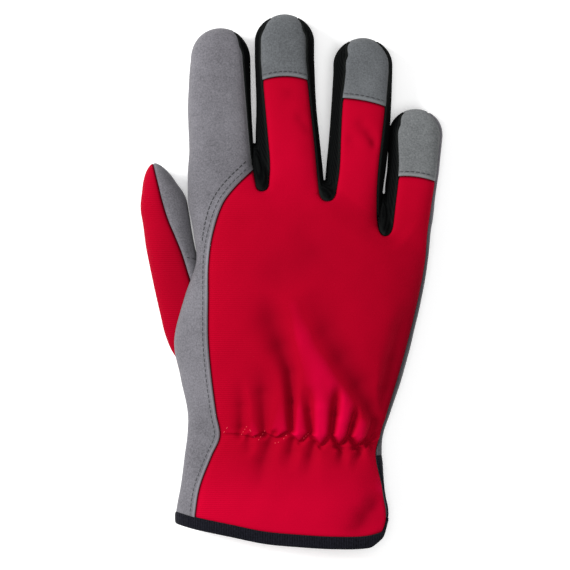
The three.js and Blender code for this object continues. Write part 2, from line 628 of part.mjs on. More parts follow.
// The gathered folds, as a height added to the outside of the back panel.
function foldHeight(p) {
  const rise = p.y - GATHER_Y;
  let height = 0;
  for (const fold of FOLDS) {
    const off = (p.x - fold.x - fold.lean * rise) / fold.width;
    const fade = Math.exp(-((rise / (rise > 0 ? fold.up : fold.down)) ** 2));
    height -= fold.depth * fade * (Math.exp(-off * off) - 0.35);
  }
  const along = THREE.MathUtils.smoothstep(p.y, DRAPE.from, -40) * (1 - THREE.MathUtils.smoothstep(p.y, -30, DRAPE.to));
  const aside = (p.x - DRAPE.x - DRAPE.lean * (p.y - DRAPE.from)) / DRAPE.width;
  height -= DRAPE.depth * along * Math.exp(-aside * aside);
  const edge = THREE.MathUtils.smoothstep(p.x, hand.saddle(p.y), hand.saddle(p.y) + 5);
  return height * edge * (1 - THREE.MathUtils.smoothstep(p.x, hand.seam(p.y) - 5, hand.seam(p.y)));
}

// Edges that only one of the quads uses, in its direction.
function rim(quads) {
  const used = new Set(quads.flatMap((q) => q.map((a, i) => `${a},${q[(i + 1) % 4]}`)));
  return [...used].filter((e) => !used.has(e.split(",").reverse().join(","))).map((e) => e.split(",").map(Number));
}

// How far each rim vertex steps back from its seam, as a mitre of its two edges.
function rimSteps(edges, distance) {
  const inward = new Map();
  for (const [a, b] of edges) {
    const along = skin.points[b].clone().sub(skin.points[a]);
    for (const i of [a, b]) {
      const side = new THREE.Vector3().crossVectors(normals[i], along).normalize();
      inward.set(i, [...(inward.get(i) ?? []), side]);
    }
  }
  const step = new Map();
  for (const [i, [first, second = first]] of inward) {
    const sum = first.clone().add(second);
    step.set(i, sum.multiplyScalar(distance / Math.max(1 + first.dot(second), 0.5)));
  }
  return step;
}

function closedGeometry(points, triangles) {
  const geometry = new THREE.BufferGeometry().setFromPoints(points);
  geometry.setIndex(triangles.flat());
  return geometry;
}

// A piece of the skin as a solid: outside, inside and the walls along its rim.
function thicken(quads, inset = SEAM_GAP / 2, outside = () => 0) {
  const edges = rim(quads);
  const step = rimSteps(edges, inset);
  const numbers = [...new Set(quads.flat())];
  const local = new Map(numbers.map((i, n) => [i, n]));
  const layer = (height) =>
    numbers.map((i) =>
      skin.points[i]
        .clone()
        .add(step.get(i) ?? new THREE.Vector3())
        .addScaledVector(normals[i], height(skin.points[i])),
    );
  const points = [...layer(outside), ...layer(() => -WALL)];
  const inner = numbers.length;
  const triangles = [];
  const quad = (a, b, c, d) => triangles.push([a, b, c], [a, c, d]);
  for (const q of quads) {
    const [a, b, c, d] = q.map((i) => local.get(i));
    quad(a, b, c, d);
    quad(d + inner, c + inner, b + inner, a + inner);
  }
  for (const edge of edges) {
    const [a, b] = edge.map((i) => local.get(i));
    // Both pieces at a seam split its wall along the same diagonal, so that neither crosses the other.
    if (edge[0] < edge[1]) quad(a, a + inner, b + inner, b);
    else quad(b, a, a + inner, b + inner);
  }
  return closedGeometry(points, triangles);
}

// A point on the thumb's outline, moved out or in by a distance.
function thumbPoint(d, angle, out) {
  const round = Math.max(0, 1 - d / THUMB.nose);
  const shrink = Math.sqrt(Math.max(0, 1 - round * round));
  const at = Math.max(d, THUMB.nose);
  const [left, right] = [thumb.left(at), thumb.right(at)];
  const across = Math.cos(angle);
  const up = Math.sin(angle);
  const exponent = up > 0 ? TOP_ROUND : PALM_ROUND;
  const height = up > 0 ? thumb.crown(at) : thumb.mid(at) - thumb.lift(at);
  const spread = Math.sign(across) * Math.abs(across) ** (2 / exponent);
  const rise = Math.sign(up) * Math.abs(up) ** (2 / exponent);
  const grow = out * Math.min(1, shrink * 1.5);
  const x = (left + right) / 2 + spread * (((right - left) / 2) * shrink + grow);
  const z = thumb.mid(at) + rise * (height * shrink + grow);
  const back = d - out * round;
  return new THREE.Vector3(
    THUMB.tip.x + x * Math.cos(THUMB.lean) + back * Math.sin(THUMB.lean),
    THUMB.tip.y + x * Math.sin(THUMB.lean) - back * Math.cos(THUMB.lean),
    z,
  );
}
const THUMB_GRID = { rings: [104, 94, 84, 72, 60, 50, 40, 28, 18, 12, 8, 4.8, 2, 0.4], around: 8 };

// Half of the thumb between its two seams, as a solid wall: the outer, red half or the inner, grey one.
function thumbHalf(outer) {
  // The angle at which the section reaches a share of its half width.
  const reach = (share, exponent) => Math.acos(Math.sign(share) * Math.abs(share) ** (exponent / 2));
  const angles = (d) => {
    const at = Math.max(d, THUMB.nose);
    const half = (thumb.right(at) - thumb.left(at)) / 2;
    const seam = (thumb.seam(at) - (thumb.left(at) + thumb.right(at)) / 2) / half;
    const gap = SEAM_GAP / 2 / Math.max(half * Math.sqrt(Math.min(1, d / THUMB.nose)), 2);
    return outer
      ? steps(reach(seam - gap, TOP_ROUND), 2 * Math.PI - reach(-gap, PALM_ROUND), THUMB_GRID.around)
      : steps(-reach(gap, PALM_ROUND), reach(seam + gap, TOP_ROUND), THUMB_GRID.around);
  };
  const sheet = (out) =>
    THUMB_GRID.rings.map((d) => angles(d).map((a) => thumbPoint(Math.max(d, -out * 0.9), a, out)));
  const rows = THUMB_GRID.rings.length;
  const columns = THUMB_GRID.around + 1;
  const points = [...sheet(0).flat(), ...sheet(-WALL).flat()];
  const at = (j, i, inner) => (inner ? rows * columns : 0) + j * columns + i;
  const triangles = [];
  const quad = (a, b, c, d) => triangles.push([a, b, c], [a, c, d]);
  for (let j = 0; j + 1 < rows; j++)
    for (let i = 0; i + 1 < columns; i++) {
      quad(at(j, i), at(j + 1, i), at(j + 1, i + 1), at(j, i + 1));
      quad(at(j, i, 1), at(j, i + 1, 1), at(j + 1, i + 1, 1), at(j + 1, i, 1));
    }
  for (let j = 0; j + 1 < rows; j++) {
    quad(at(j, 0, 1), at(j + 1, 0, 1), at(j + 1, 0), at(j, 0));
    quad(at(j, columns - 1), at(j + 1, columns - 1), at(j + 1, columns - 1, 1), at(j, columns - 1, 1));
  }
  for (let i = 0; i + 1 < columns; i++) {
    quad(at(0, i), at(0, i + 1), at(0, i + 1, 1), at(0, i, 1));
    quad(at(rows - 1, i, 1), at(rows - 1, i + 1, 1), at(rows - 1, i + 1), at(rows - 1, i));
  }
  return closedGeometry(points, triangles);
}

// The hollow of the thumb as a solid, which opens the side of the palm to it.
function thumbHollow() {
  const around = 2 * THUMB_GRID.around;
  const rings = THUMB_GRID.rings.map((d) =>
    steps(0, 2 * Math.PI, around).slice(0, -1).map((a) => thumbPoint(Math.max(d, WALL), a, -WALL)),
  );
  const points = [...rings.flat(), centreOf(rings[0]), centreOf(rings.at(-1))];
  const triangles = [];
  rings.forEach((ring, j) =>
    ring.forEach((_, i) => {
      const next = (i + 1) % around;
      if (j + 1 < rings.length) {
        const [a, b] = [j * around + i, j * around + next];
        triangles.push([a, a + around, b + around], [a, b + around, b]);
      }
    }),
  );
  const base = rings.length * around;
  for (let i = 0; i < around; i++) {
    const next = (i + 1) % around;
    triangles.push([base, i, next]);
    triangles.push([base + 1, base - around + next, base - around + i]);
  }
  return closedGeometry(points, triangles);
}

function centreOf(points) {
  return points.reduce((sum, p) => sum.add(p), new THREE.Vector3()).divideScalar(points.length);
}

// Vertex numbers round the cuff, anticlockwise from the cuff's own side: back, far edge, palm, near edge.
function cuffLoop() {
  const back = [...grids.strip[0], ...grids.back[0].slice(1)];
  const far = grids.ulnar.at(-1).slice(1);
  const palm = [...grids.palm[0]].reverse().slice(1);
  const near = [...grids.radial[0]].reverse().slice(1, -1);
  return [...back, ...far, ...palm, ...near];
}

// The band folded over the cuff edge, carried round the loop: outside, rolled edge, inside.
function bindingGeometry() {
  const loop = cuffLoop();
  const { width, proud, start } = BINDING;
  const profile = [
    [start, proud * 0.6],
    [width * 0.6, proud],
    [width, -WALL * 0.25],
    [width, -WALL * 0.75],
    [start, -WALL - proud * 0.6],
  ];
  const down = new THREE.Vector3(0, -1, 0);
  const points = loop.flatMap((i) => {
    const normal = normals[i].clone();
    normal.y = 0;
    normal.normalize();
    return profile.map(([along, out]) => {
      const p = skin.points[i].clone().addScaledVector(down, along).addScaledVector(normal, out);
      p.z = Math.max(p.z, 0);
      return p;
    });
  });
  const ring = profile.length;
  const triangles = [];
  loop.forEach((_, k) =>
    profile.forEach((__, i) => {
      const [a, b] = [k * ring, ((k + 1) % loop.length) * ring];
      const next = (i + 1) % ring;
      triangles.push([a + i, a + next, b + next], [a + i, b + next, b + i]);
    }),
  );
  return closedGeometry(points, triangles);
}

// Solids for cutting and joining.
const wasm = await Module();
wasm.setup();

function solidOf(geometry) {
  const merged = mergeVertices(geometry, 1e-4);
  return new wasm.Manifold(
    new wasm.Mesh({
      numProp: 3,
      vertProperties: new Float32Array(merged.attributes.position.array),
      triVerts: new Uint32Array(merged.index.array),
    }),
  );
}

// The largest body of a solid, as a three.js geometry.
function geometryOf(solid) {
  const body = solid.decompose().reduce((a, b) => (b.volume() > a.volume() ? b : a));
  const mesh = body.getMesh();
  return new THREE.BufferGeometry()
    .setAttribute("position", new THREE.BufferAttribute(new Float32Array(mesh.vertProperties), 3))
    .setIndex(new THREE.BufferAttribute(new Uint32Array(mesh.triVerts), 1));
}

// The whole hand as one filled body, a little larger than it is, to trim the thumb where they join.
function handPlug() {
  const quads = Object.values(skin.pieces).flat();
  const points = skin.points.map((p, i) => p.clone().addScaledVector(normals[i], SEAM_GAP));
  const loop = rim(quads);
  points.push(centreOf(cuffLoop().map((i) => skin.points[i])));
  const triangles = quads.flatMap(([a, b, c, d]) => [
    [a, b, c],
    [a, c, d],
  ]);
  for (const [a, b] of loop) triangles.push([b, a, points.length - 1]);
  return solidOf(closedGeometry(points, triangles));
}

const handSolid = handPlug();
const glove = new THREE.Group();
glove.name = "insulated_work_glove";

function addPiece(name, geometry, finish) {
  const flat = geometry.toNonIndexed();
  flat.computeVertexNormals();
  const material = new THREE.MeshStandardMaterial({ name: finish, metalness: 0, ...COLOURS[finish] });
  const mesh = new THREE.Mesh(flat, material);
  mesh.name = name;
  glove.add(mesh);
}

addPiece("back_panel", thicken(skin.pieces.back_panel, SEAM_GAP / 2, foldHeight), "red_cloth");
addPiece(
  "palm_panel",
  geometryOf(solidOf(thicken(skin.pieces.palm_panel)).subtract(solidOf(thumbHollow()))),
  "grey_leather",
);
for (const name of STRIPS) addPiece(name, thicken(skin.pieces[name], STRIP_INSET), "black_knit");
for (const name of CAPPED)
  addPiece(`${name}_fingertip_cap`, thicken(skin.pieces[`${name}_fingertip_cap`]), "grey_leather");
addPiece("thumb_back_panel", geometryOf(solidOf(thumbHalf(true)).subtract(handSolid)), "red_cloth");
addPiece("thumb_palm_panel", geometryOf(solidOf(thumbHalf(false)).subtract(handSolid)), "grey_leather");
addPiece("cuff_binding", bindingGeometry(), "black_tape");

// The origin is the middle of the glove's footprint, on the surface that it lies on.
const box = new THREE.Box3().setFromObject(glove);
const middlePoint = box.getCenter(new THREE.Vector3());
glove.position.set(-middlePoint.x, -middlePoint.y, -box.min.z);

export default glove;
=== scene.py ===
# %% [markdown]
# # An insulated work glove, lying on its palm
#
# This notebook dresses the solids of a lined work glove for the right hand. The back is red stretch
# cloth, the palm, the index finger and the fingertips are grey suede-like leather, black knit strips run
# between the fingers, elastic gathers the wrist, and ribbed tape binds the cuff.
#
# A glove is one skin made of flat pieces. We could push and pull a subdivided hand, but then the seams
# would never line up with the cut of the cloth. Instead every piece is a grid of points worked out from
# the glove's own measurements, so that two neighbours share one seam line exactly.

# %% Load the packed model
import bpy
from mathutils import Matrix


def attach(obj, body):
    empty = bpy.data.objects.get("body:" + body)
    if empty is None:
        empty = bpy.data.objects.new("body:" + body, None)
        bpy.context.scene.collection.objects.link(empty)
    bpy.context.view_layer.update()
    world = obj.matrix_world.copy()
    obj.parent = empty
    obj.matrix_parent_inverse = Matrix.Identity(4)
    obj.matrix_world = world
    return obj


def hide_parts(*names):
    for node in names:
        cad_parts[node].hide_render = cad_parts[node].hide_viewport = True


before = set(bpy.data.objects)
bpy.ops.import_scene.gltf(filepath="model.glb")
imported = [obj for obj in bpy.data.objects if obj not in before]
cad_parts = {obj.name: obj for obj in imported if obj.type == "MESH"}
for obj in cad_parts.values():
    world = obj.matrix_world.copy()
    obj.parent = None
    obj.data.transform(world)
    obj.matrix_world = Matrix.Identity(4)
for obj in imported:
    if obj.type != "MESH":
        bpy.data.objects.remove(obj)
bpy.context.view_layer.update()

from types import SimpleNamespace

import bpy
import numpy as np
from mathutils import Vector
from mathutils.bvhtree import BVHTree

print("nodes:", sorted(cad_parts))

# %% [markdown]
# ## Measurements
#
# All lengths are millimetres until a mesh is made. A hand has sections up the glove, and each column of
# its table is one line: the outline on the thumb's side, how far the leather folds over that edge, the
# long curved seam that looks like a saddle, the seam on the little finger's side, that side's outline,
# and three heights. Reading a table as named lines keeps every later formula short.

# %% Hand table
MM = 0.001
HAND = np.array([
    # y, radial, fold, saddle, seam, ulnar, top, radial_mid, ulnar_mid
    (-130, -55.0, 6, -48.6, 45.35, 45.4, 24.5, 11.5, 11.0),
    (-112, -54.2, 6, -45.7, 45.15, 45.2, 24.5, 11.5, 11.0),
    (-96, -51.4, 6, -43.2, 43.35, 43.4, 24.5, 11.5, 11.0),
    (-81, -49.5, 6, -37.5, 40.3, 42.6, 25.0, 12.0, 11.0),
    (-72, -48.4, 6, -33.7, 42.4, 43.2, 25.5, 12.0, 11.0),
    (-62, -48.1, 6, -35.3, 45.5, 46.4, 27.0, 12.5, 11.0),
    (-44, -51.4, 6, -37.6, 51.0, 52.4, 29.5, 13.5, 11.0),
    (-27, -54.4, 6, -39.0, 55.7, 57.0, 31.0, 15.0, 11.0),
    (-7, -49.7, 5, -39.0, 60.5, 61.6, 31.0, 16.5, 11.0),
    (9, -43.9, 3, -38.9, 63.4, 64.4, 30.0, 17.0, 11.0),
    (22, -44.9, 3, -37.0, 64.4, 65.6, 28.5, 16.5, 10.8),
    (36, -47.9, 3, -32.4, 66.4, 67.4, 27.0, 15.0, 10.4),
    (44, -48.3, 3, -26.6, 67.7, 68.6, 25.5, 13.5, 10.0),
    (53, -47.8, 3, -17.5, 69.2, 69.8, 24.5, 12.0, 9.6),
])
HAND_LINES = "radial fold saddle seam ulnar top radial_mid ulnar_mid".split()
ROWS = np.array([
    # height up the glove at the thumb's side and at the little finger's, row by row from the cuff
    (np.nan, np.nan), (-104, -108), (-94, -97), (-85, -87), (-78.5, -79.5), (-74.5, -75), (-71.5, -72),
    (-68.5, -69), (-64, -64.5), (-57, -57), (-46, -46), (-31, -31), (-12, -15), (7, 0), (23, 12), (34, 20),
    (42, 26.5),
])
CUFF = np.array([(-56, -107.2), (-45, -110.0), (-27, -113.6), (-12, -116.6), (4, -118.1), (20, -119.1),
                 (36, -118.9), (46, -116.2)])
REACH = np.array([(-50, 80), (-38, 76), (-16.7, 61.6), (15.8, 51.6), (43.3, 38.7), (52, 41), (64, 58)])
# how far the leather folds under the hand, the cuff's lift off the table, and how flat the palm is pressed
PALM_FOLD, CUFF_LIFT, REST = 8.0, 1.6, 0.9
print("hand table:", len(HAND), "sections and", len(ROWS), "rows of cloth")

# %% Finger and gap tables
FINGER_LINES = "x half left right mid crown lift".split()
FINGERS = {
    "index": dict(tip=118.6, nose=14.9, cap=None, rows=[
        (42.7, -32.9, 15.4, -45.8, -15.6, 12.5, 11.5, 0.6),
        (53.0, -32.5, 15.3, -44.8, -17.5, 12.0, 11.0, 1.2),
        (61.4, -32.3, 15.0, -44.5, -18.6, 11.7, 10.6, 1.6),
        (82.9, -33.3, 14.9, -45.2, -20.5, 11.2, 10.2, 1.6),
        (103.4, -32.7, 13.9, -43.8, -22.2, 9.8, 9.6, 0.2)]),
    "middle": dict(tip=124.9, nose=12.6, cap=(94.6, 96.3, 94.6), rows=[
        (41.8, 0.2, 15.8, -10.6, 13.6, 11.8, 12.0, 0.6),
        (54.4, -0.6, 15.5, -10.0, 12.6, 11.6, 11.2, 1.4),
        (67.9, -1.4, 14.9, -11.0, 11.3, 11.4, 10.6, 1.9),
        (82.9, -2.0, 14.0, -12.4, 9.6, 11.0, 10.0, 1.7),
        (103.4, -2.8, 13.9, -14.2, 7.5, 9.8, 9.5, 0.2)]),
    "ring": dict(tip=113.9, nose=12.6, cap=(86.2, 84.9, 82.2), rows=[
        (26.5, 27.6, 13.9, 20.2, 41.1, 11.3, 12.0, 0.5),
        (40.4, 29.3, 13.7, 20.8, 40.8, 11.2, 11.4, 1.0),
        (53.0, 30.7, 14.0, 22.5, 41.5, 11.0, 10.8, 1.6),
        (67.9, 32.2, 14.1, 23.1, 43.2, 10.8, 10.2, 1.7),
        (82.9, 33.2, 14.0, 23.9, 44.9, 10.2, 9.8, 1.2),
        (97.8, 33.9, 13.8, 25.5, 46.3, 9.4, 9.2, 0.2)]),
    "little": dict(tip=80.8, nose=12.1, cap=(49.7, 49.4, 47.2), rows=[
        (26.0, 53.9, 12.3, 47.4, 65.0, 10.7, 10.8, 0.4),
        (38.1, 55.8, 11.9, 48.8, 66.8, 10.3, 10.0, 1.2),
        (45.5, 56.6, 12.2, 49.7, 68.0, 10.0, 9.6, 1.3),
        (53.0, 57.6, 12.3, 50.3, 68.9, 9.6, 9.2, 0.9),
        (67.9, 58.6, 12.6, 49.9, 70.3, 9.0, 8.6, 0.2)]),
}
# corner and bottom of the turn between two fingers, on the back seam, at mid height and on the palm seam
GAPS = [
    dict(back=(45.2, 42.3), mid=(65.2, 64.5), palm=(57.0, 54.6)),
    dict(back=(41.8, 37.6), mid=(48.8, 47.4), palm=(47.6, 45.0)),
    dict(back=(26.5, 21.4), mid=(41.8, 41.0), palm=(36.4, 34.0)),
]
print("finger sections:", {name: len(f["rows"]) for name, f in FINGERS.items()})


# %% Smooth lines through a table
def line_through(at, value):
    """Cubic pieces through the rows of a table, with each row's slope taken from its two neighbours."""
    at, value = np.asarray(at, float), np.asarray(value, float)
    row = np.arange(len(at))
    low, high = np.maximum(row - 1, 0), np.minimum(row + 1, len(at) - 1)
    slope = (value[high] - value[low]) / (at[high] - at[low])

    def line(v):
        v = np.clip(v, at[0], at[-1])
        i = np.clip(np.searchsorted(at, v) - 1, 0, len(at) - 2)
        span = at[i + 1] - at[i]
        t = (v - at[i]) / span
        rise = t * t * (3 - 2 * t)
        bend = span * t * (1 - t) * (slope[i] * (1 - t) - slope[i + 1] * t)
        return value[i] * (1 - rise) + value[i + 1] * rise + bend

    return line


def lines_of(table, names):
    """A smooth line for each column of a table, by name. The first column says where each row lies."""
    table = np.asarray(table, float)
    return {name: line_through(table[:, 0], table[:, k + 1]) for k, name in enumerate(names)}


hand = SimpleNamespace(**lines_of(HAND, HAND_LINES))
cuff_y = line_through(CUFF[:, 0], CUFF[:, 1])
reach_y = line_through(REACH[:, 0], REACH[:, 1])
fingers = {
    name: SimpleNamespace(name=name, tip=f["tip"], nose=f["nose"], nose_y=f["tip"] - f["nose"], cap=f["cap"],
                          root=f["rows"][0][0], **lines_of(f["rows"], FINGER_LINES))
    for name, f in FINGERS.items()
}
print("hand is", round(float(hand.ulnar(9) - hand.radial(9)), 1), "mm across its knuckles")

# %% [markdown]
# ## The two sheets
#
# The skin has a back sheet and a palm sheet, each a height over the table. One section is a dome: highest
# in the middle, falling to the side line at the outline. Taking the larger of the hand's dome and each
# finger's dome, with a rounded corner between them, melts the fingers into the hand, the way the cloth
# does over the knuckles.

# %% Shares, domes and soft corners
def smooth(v, low, high):
    """Goes from 0 to 1 between two values, level at both ends."""
    t = np.clip((v - low) / (high - low), 0, 1)
    return t * t * (3 - 2 * t)


def mix(a, b, t):
    """The value at a share t of the way from a to b."""
    return a + (b - a) * t


def dome(r, power):
    """1 in the middle of a section and 0 at its outline, as a superellipse, falling on outside it."""
    return np.where(r < 1, (1 - np.clip(r, 0, 1) ** power) ** (1 / power), 2 * (1 - r))


BLEND = 3.2


def soft_max(a, b):
    """The larger of two heights, with the corner where they meet filled by a parabola BLEND wide."""
    near = np.maximum(BLEND - np.abs(a - b), 0) / BLEND
    return np.maximum(a, b) + near * near * BLEND / 4


print("half way out, a round dome has", round(float(dome(0.5, 2)), 2), "of its height")

# %% How far out a place lies in a finger or in the hand
HAND_NOSE, HAND_CORNER = 24.0, 1.4


def finger_share(f, x, y):
    """0 on a finger's middle line and 1 on its outline: straight across it, and as an ellipse round its
    tip."""
    across = (x - f.x(y)) / f.half(y)
    return np.where(y <= f.nose_y, np.abs(across), np.hypot(across, (y - f.nose_y) / f.nose))


def hand_share(x, y):
    """0 in the middle of the hand and 1 at its edge: the share across it and the share up it, joined as the
    two axes of a superellipse are."""
    across = np.abs((2 * x - hand.radial(y) - hand.ulnar(y)) / (hand.ulnar(y) - hand.radial(y)))
    along = np.maximum(0, 1 + (y - reach_y(x)) / HAND_NOSE)
    return (across ** HAND_CORNER + along ** HAND_CORNER) ** (1 / HAND_CORNER)


def hand_mid(x, y):
    """Height of the line between back and palm, changing evenly from the thumb's side to the other."""
    share = np.clip((x - hand.radial(y)) / (hand.ulnar(y) - hand.radial(y)), 0, 1)
    return mix(hand.radial_mid(y), hand.ulnar_mid(y), share)


print("mid height in the middle of the hand:", round(float(hand_mid(0.0, 0.0)), 1), "mm")

# %% Heights of the back and of the palm
TOP_ROUND, FINGER_ROUND, PALM_ROUND = 2.25, 2.8, 3.0  # powers of the superellipses
BACK_MELT, PALM_MELT = 30, 14  # how far below its root a finger's dome starts to rise out of the hand
PINCH, PINCH_WIDTH = 1.3, 7
CUFF_REST = (-112, -96)
gather_y = line_through([-50, -32, 0, 18, 38, 48], [-71, -71.2, -73.4, -76, -77.2, -77])


def back_height(x, y):
    """Height of the back sheet: the hand's dome and the fingers' domes, pinched along the elastic."""
    crown = hand.top(y) - (hand.radial_mid(y) + hand.ulnar_mid(y)) / 2
    z = hand_mid(x, y) + crown * dome(hand_share(x, y), TOP_ROUND)
    for f in fingers.values():
        rise = smooth(y, f.root - BACK_MELT, f.root)
        z = soft_max(z, f.mid(y) + f.crown(y) * dome(finger_share(f, x, y), FINGER_ROUND) * rise)
    return z - PINCH * np.exp(-(((y - gather_y(x)) / PINCH_WIDTH) ** 2))


def palm_height(x, y):
    """Height of the palm sheet: domes upside down, pressed flat where they meet the table."""
    lift = CUFF_LIFT * (1 - smooth(y, *CUFF_REST))
    mid = hand_mid(x, y)
    z = mid - (mid - lift) * dome(hand_share(x, y), PALM_ROUND)
    for f in fingers.values():
        fade = smooth(y, f.root - PALM_MELT, f.root)
        depth = (f.mid(y) - f.lift(y)) * dome(finger_share(f, x, y), PALM_ROUND) * fade
        z = -soft_max(-z, depth - f.mid(y))
    return np.maximum(z - REST, 0)


print("back is", round(float(back_height(0.0, 0.0)), 1), "mm high over the palm")

# %% [markdown]
# ## Seam lines
#
# Three lines run side by side round every finger: the seam on the back, the outline at mid height and the
# seam on the palm. A station is one rung of that ladder. Sampling stations as arrays gives the edges of
# the flat pieces and the side walls between them from the same numbers, so nothing gapes.

# %% A rung, and runs of rungs
STEEPEST = 0.95  # the back seam lies no further out than this share of a half width


def station(back, outline, palm, mid, back_share, palm_share):
    """One rung, or an array of them: three plan points, the side line's height and how far out each seam
    lies."""
    size = np.broadcast(back[0], outline[0], palm[0]).shape
    pair = lambda p: np.stack([np.broadcast_to(v, size) for v in p], -1).astype(float)
    full = lambda v: np.broadcast_to(v, size).astype(float)
    return SimpleNamespace(back=pair(back), outline=pair(outline), palm=pair(palm), mid=full(mid),
                           back_share=np.minimum(full(back_share), STEEPEST), palm_share=full(palm_share))


def each(run, change):
    """A run with every one of its arrays changed in the same way."""
    return SimpleNamespace(**{k: change(v) for k, v in vars(run).items()})


def join(*lines):
    """Arrays end to end, with the point where two of them meet kept once."""
    return np.concatenate([line if i == 0 else line[1:] for i, line in enumerate(lines)])


def chain(*runs):
    """Joins runs of rungs whose ends meet."""
    return SimpleNamespace(**{k: join(*(getattr(run, k) for run in runs)) for k in vars(runs[0])})


def turned(run):
    """The same rungs from the last to the first."""
    return each(run, lambda v: v[::-1])


def rung(run, i):
    """One rung out of a run."""
    return each(run, lambda v: v[i])


def start_at(run, first):
    """The run with its first rung replaced, so that it begins where another run ends."""
    arrays = {k: np.concatenate([getattr(first, k)[None], v[1:]]) for k, v in vars(run).items()}
    return SimpleNamespace(**arrays)


print("a rung holds:", ", ".join(vars(station((0, 0), (1, 0), (0, 0), 0, 0.5, 0.5))))

# %% Rungs up a finger and round its tip
SQUEEZE, LATE = 30.0, 1.6  # length over which lower lines catch up beside a gap, and the power of their haste
PALM_SEAM = 0.74  # the palm seam's share of a finger's half width
TIP_END = np.radians(62)  # angle from the side where the tip's wall starts
TIP_TOP, TIP_PALM = 0.95, 0.88  # the seams' shares from there on
TIP_START = 0.45 * TIP_END  # angle where the seams start to close in


def shaft(f, side, q, gap=None):
    """Rungs up the straight part of a finger. Beside a gap, the lower lines start at their own depths and
    catch up with the back seam over SQUEEZE millimetres."""
    def taken(depth):
        end = gap["back"][0] + SQUEEZE
        t = np.clip(1 - (end - q) / SQUEEZE, 0, 1)
        return np.where(q >= end, q, mix(depth, end, t ** LATE))

    out_y = taken(gap["mid"][0]) if gap else q
    palm_y = taken(gap["palm"][0]) if gap else q
    seam = (f.left if side < 0 else f.right)(q)
    return station((seam, q), (f.x(out_y) + side * f.half(out_y), out_y),
                   (f.x(palm_y) + side * f.half(palm_y) * PALM_SEAM, palm_y), f.mid(out_y),
                   np.abs(seam - f.x(q)) / f.half(q), PALM_SEAM)


def tip(f, angle):
    """Rungs round a fingertip, by the angle from its right side. The seams close in on the outline."""
    centre, half = f.x(f.nose_y), f.half(f.nose_y)
    seam = np.where(np.cos(angle) < 0, f.left(f.nose_y), f.right(f.nose_y))
    late = smooth(np.minimum(angle, np.pi - angle), TIP_START, TIP_END)
    back_share = mix(np.abs(seam - centre) / half, TIP_TOP, late)
    palm_share = mix(PALM_SEAM, TIP_PALM, late)
    point = lambda share: (centre + share * half * np.cos(angle), f.nose_y + share * f.nose * np.sin(angle))
    return station(point(back_share), point(1.0), point(palm_share), f.mid(f.tip), back_share, palm_share)


def side_run(f, side, start, end, count, gap=None):
    """Rungs between two distances up one side of a finger, going round its tip above the nose line."""
    q = np.linspace(start, end, count + 1)
    round_tip = (q - f.nose_y) / f.nose
    low = shaft(f, side, np.minimum(q, f.nose_y), gap)
    high = tip(f, np.maximum(round_tip, 0) if side > 0 else np.pi - np.maximum(round_tip, 0))
    pick = lambda a, b: np.where((q > f.nose_y).reshape(-1, *[1] * (a.ndim - 1)), b, a)
    return SimpleNamespace(**{k: pick(v, getattr(high, k)) for k, v in vars(low).items()})


tip_point = tip(fingers["middle"], np.array([np.pi / 2])).outline[0]
print("the middle finger ends at", tip_point.round(1), "mm")

# %% Rungs round the bottom of a gap
GAP_SHARE = 0.3


def turn(gap, first, last, count):
    """Rungs round the bottom of a gap, as half ellipses between the last rungs of its two fingers."""
    t = np.linspace(0, 1, count + 1)
    deep = np.sin(np.pi * t)

    def bend(a, b, depth):
        return mix(a[0], b[0], (1 - np.cos(np.pi * t)) / 2), mix(a[1], b[1], t) - depth * deep

    drop = {k: gap[k][0] - gap[k][1] for k in gap}
    return station(bend(first.back, last.back, drop["back"]), bend(first.outline, last.outline, drop["mid"]),
                   bend(first.palm, last.palm, drop["palm"]), mix(first.mid, last.mid, t),
                   mix(mix(first.back_share, last.back_share, t), GAP_SHARE, deep),
                   mix(mix(first.palm_share, last.palm_share, t), GAP_SHARE, deep))


print("gaps between the fingers:", len(GAPS))

# %% Rungs up the hand's two edges
# steps across and along each piece
FINE = dict(across=18, turn=18, strip=12, root=56, cap=40, index=96, wall=7, rise=10)
row_at = join(*(np.linspace(*run) for run in ((0, 3, 26), (3, 9, 62), (9, 11, 20), (11, 16, 42))))


def on_cuff(line):
    """Where a line up the glove meets the cuff's edge, by going back and forth between the two."""
    y = CUFF[0, 1]
    for _ in range(6):
        y = cuff_y(line(y))
    return np.array([line(y), cuff_y(line(y))])


def up_hand(side, line):
    """Plan points of one line of the hand at every row, the first of them on the cuff."""
    heights = ROWS[:, 0 if side < 0 else 1].copy()
    heights[0] = on_cuff(line)[1]
    y = np.interp(row_at, np.arange(len(heights)), heights)
    points = np.stack([line(y), y], -1)
    points[0] = on_cuff(line)
    return points


FOLD_HALVES = {-1: (20, 53), 1: (5, 26.5)}  # heights between which the fold under the palm shrinks to half


def edge(side, y=None):
    """Rungs of the hand's own edge, at given heights or at every row."""
    outline = hand.radial if side < 0 else hand.ulnar
    seam = (lambda v: hand.radial(v) + hand.fold(v)) if side < 0 else hand.seam
    fold = lambda v: mix(PALM_FOLD, PALM_FOLD / 2, smooth(v, *FOLD_HALVES[side]))
    points = (lambda line: up_hand(side, line)) if y is None else (lambda line: np.stack([line(y), y], -1))
    out = points(outline)
    v = out[:, 1]
    half = (hand.ulnar(v) - hand.radial(v)) / 2
    return station(points(seam).T, out.T, points(lambda w: outline(w) - side * fold(w)).T,
                   (hand.radial_mid if side < 0 else hand.ulnar_mid)(v),
                   1 - np.abs(seam(v) - outline(v)) / half, 1 - fold(v) / half)


radial, ulnar = edge(-1), edge(1)
print("rungs up the hand:", len(radial.mid))

# %% Rungs round the fingers and the gaps between them
APEX_Y = 53.0  # where the saddle seam meets the index finger


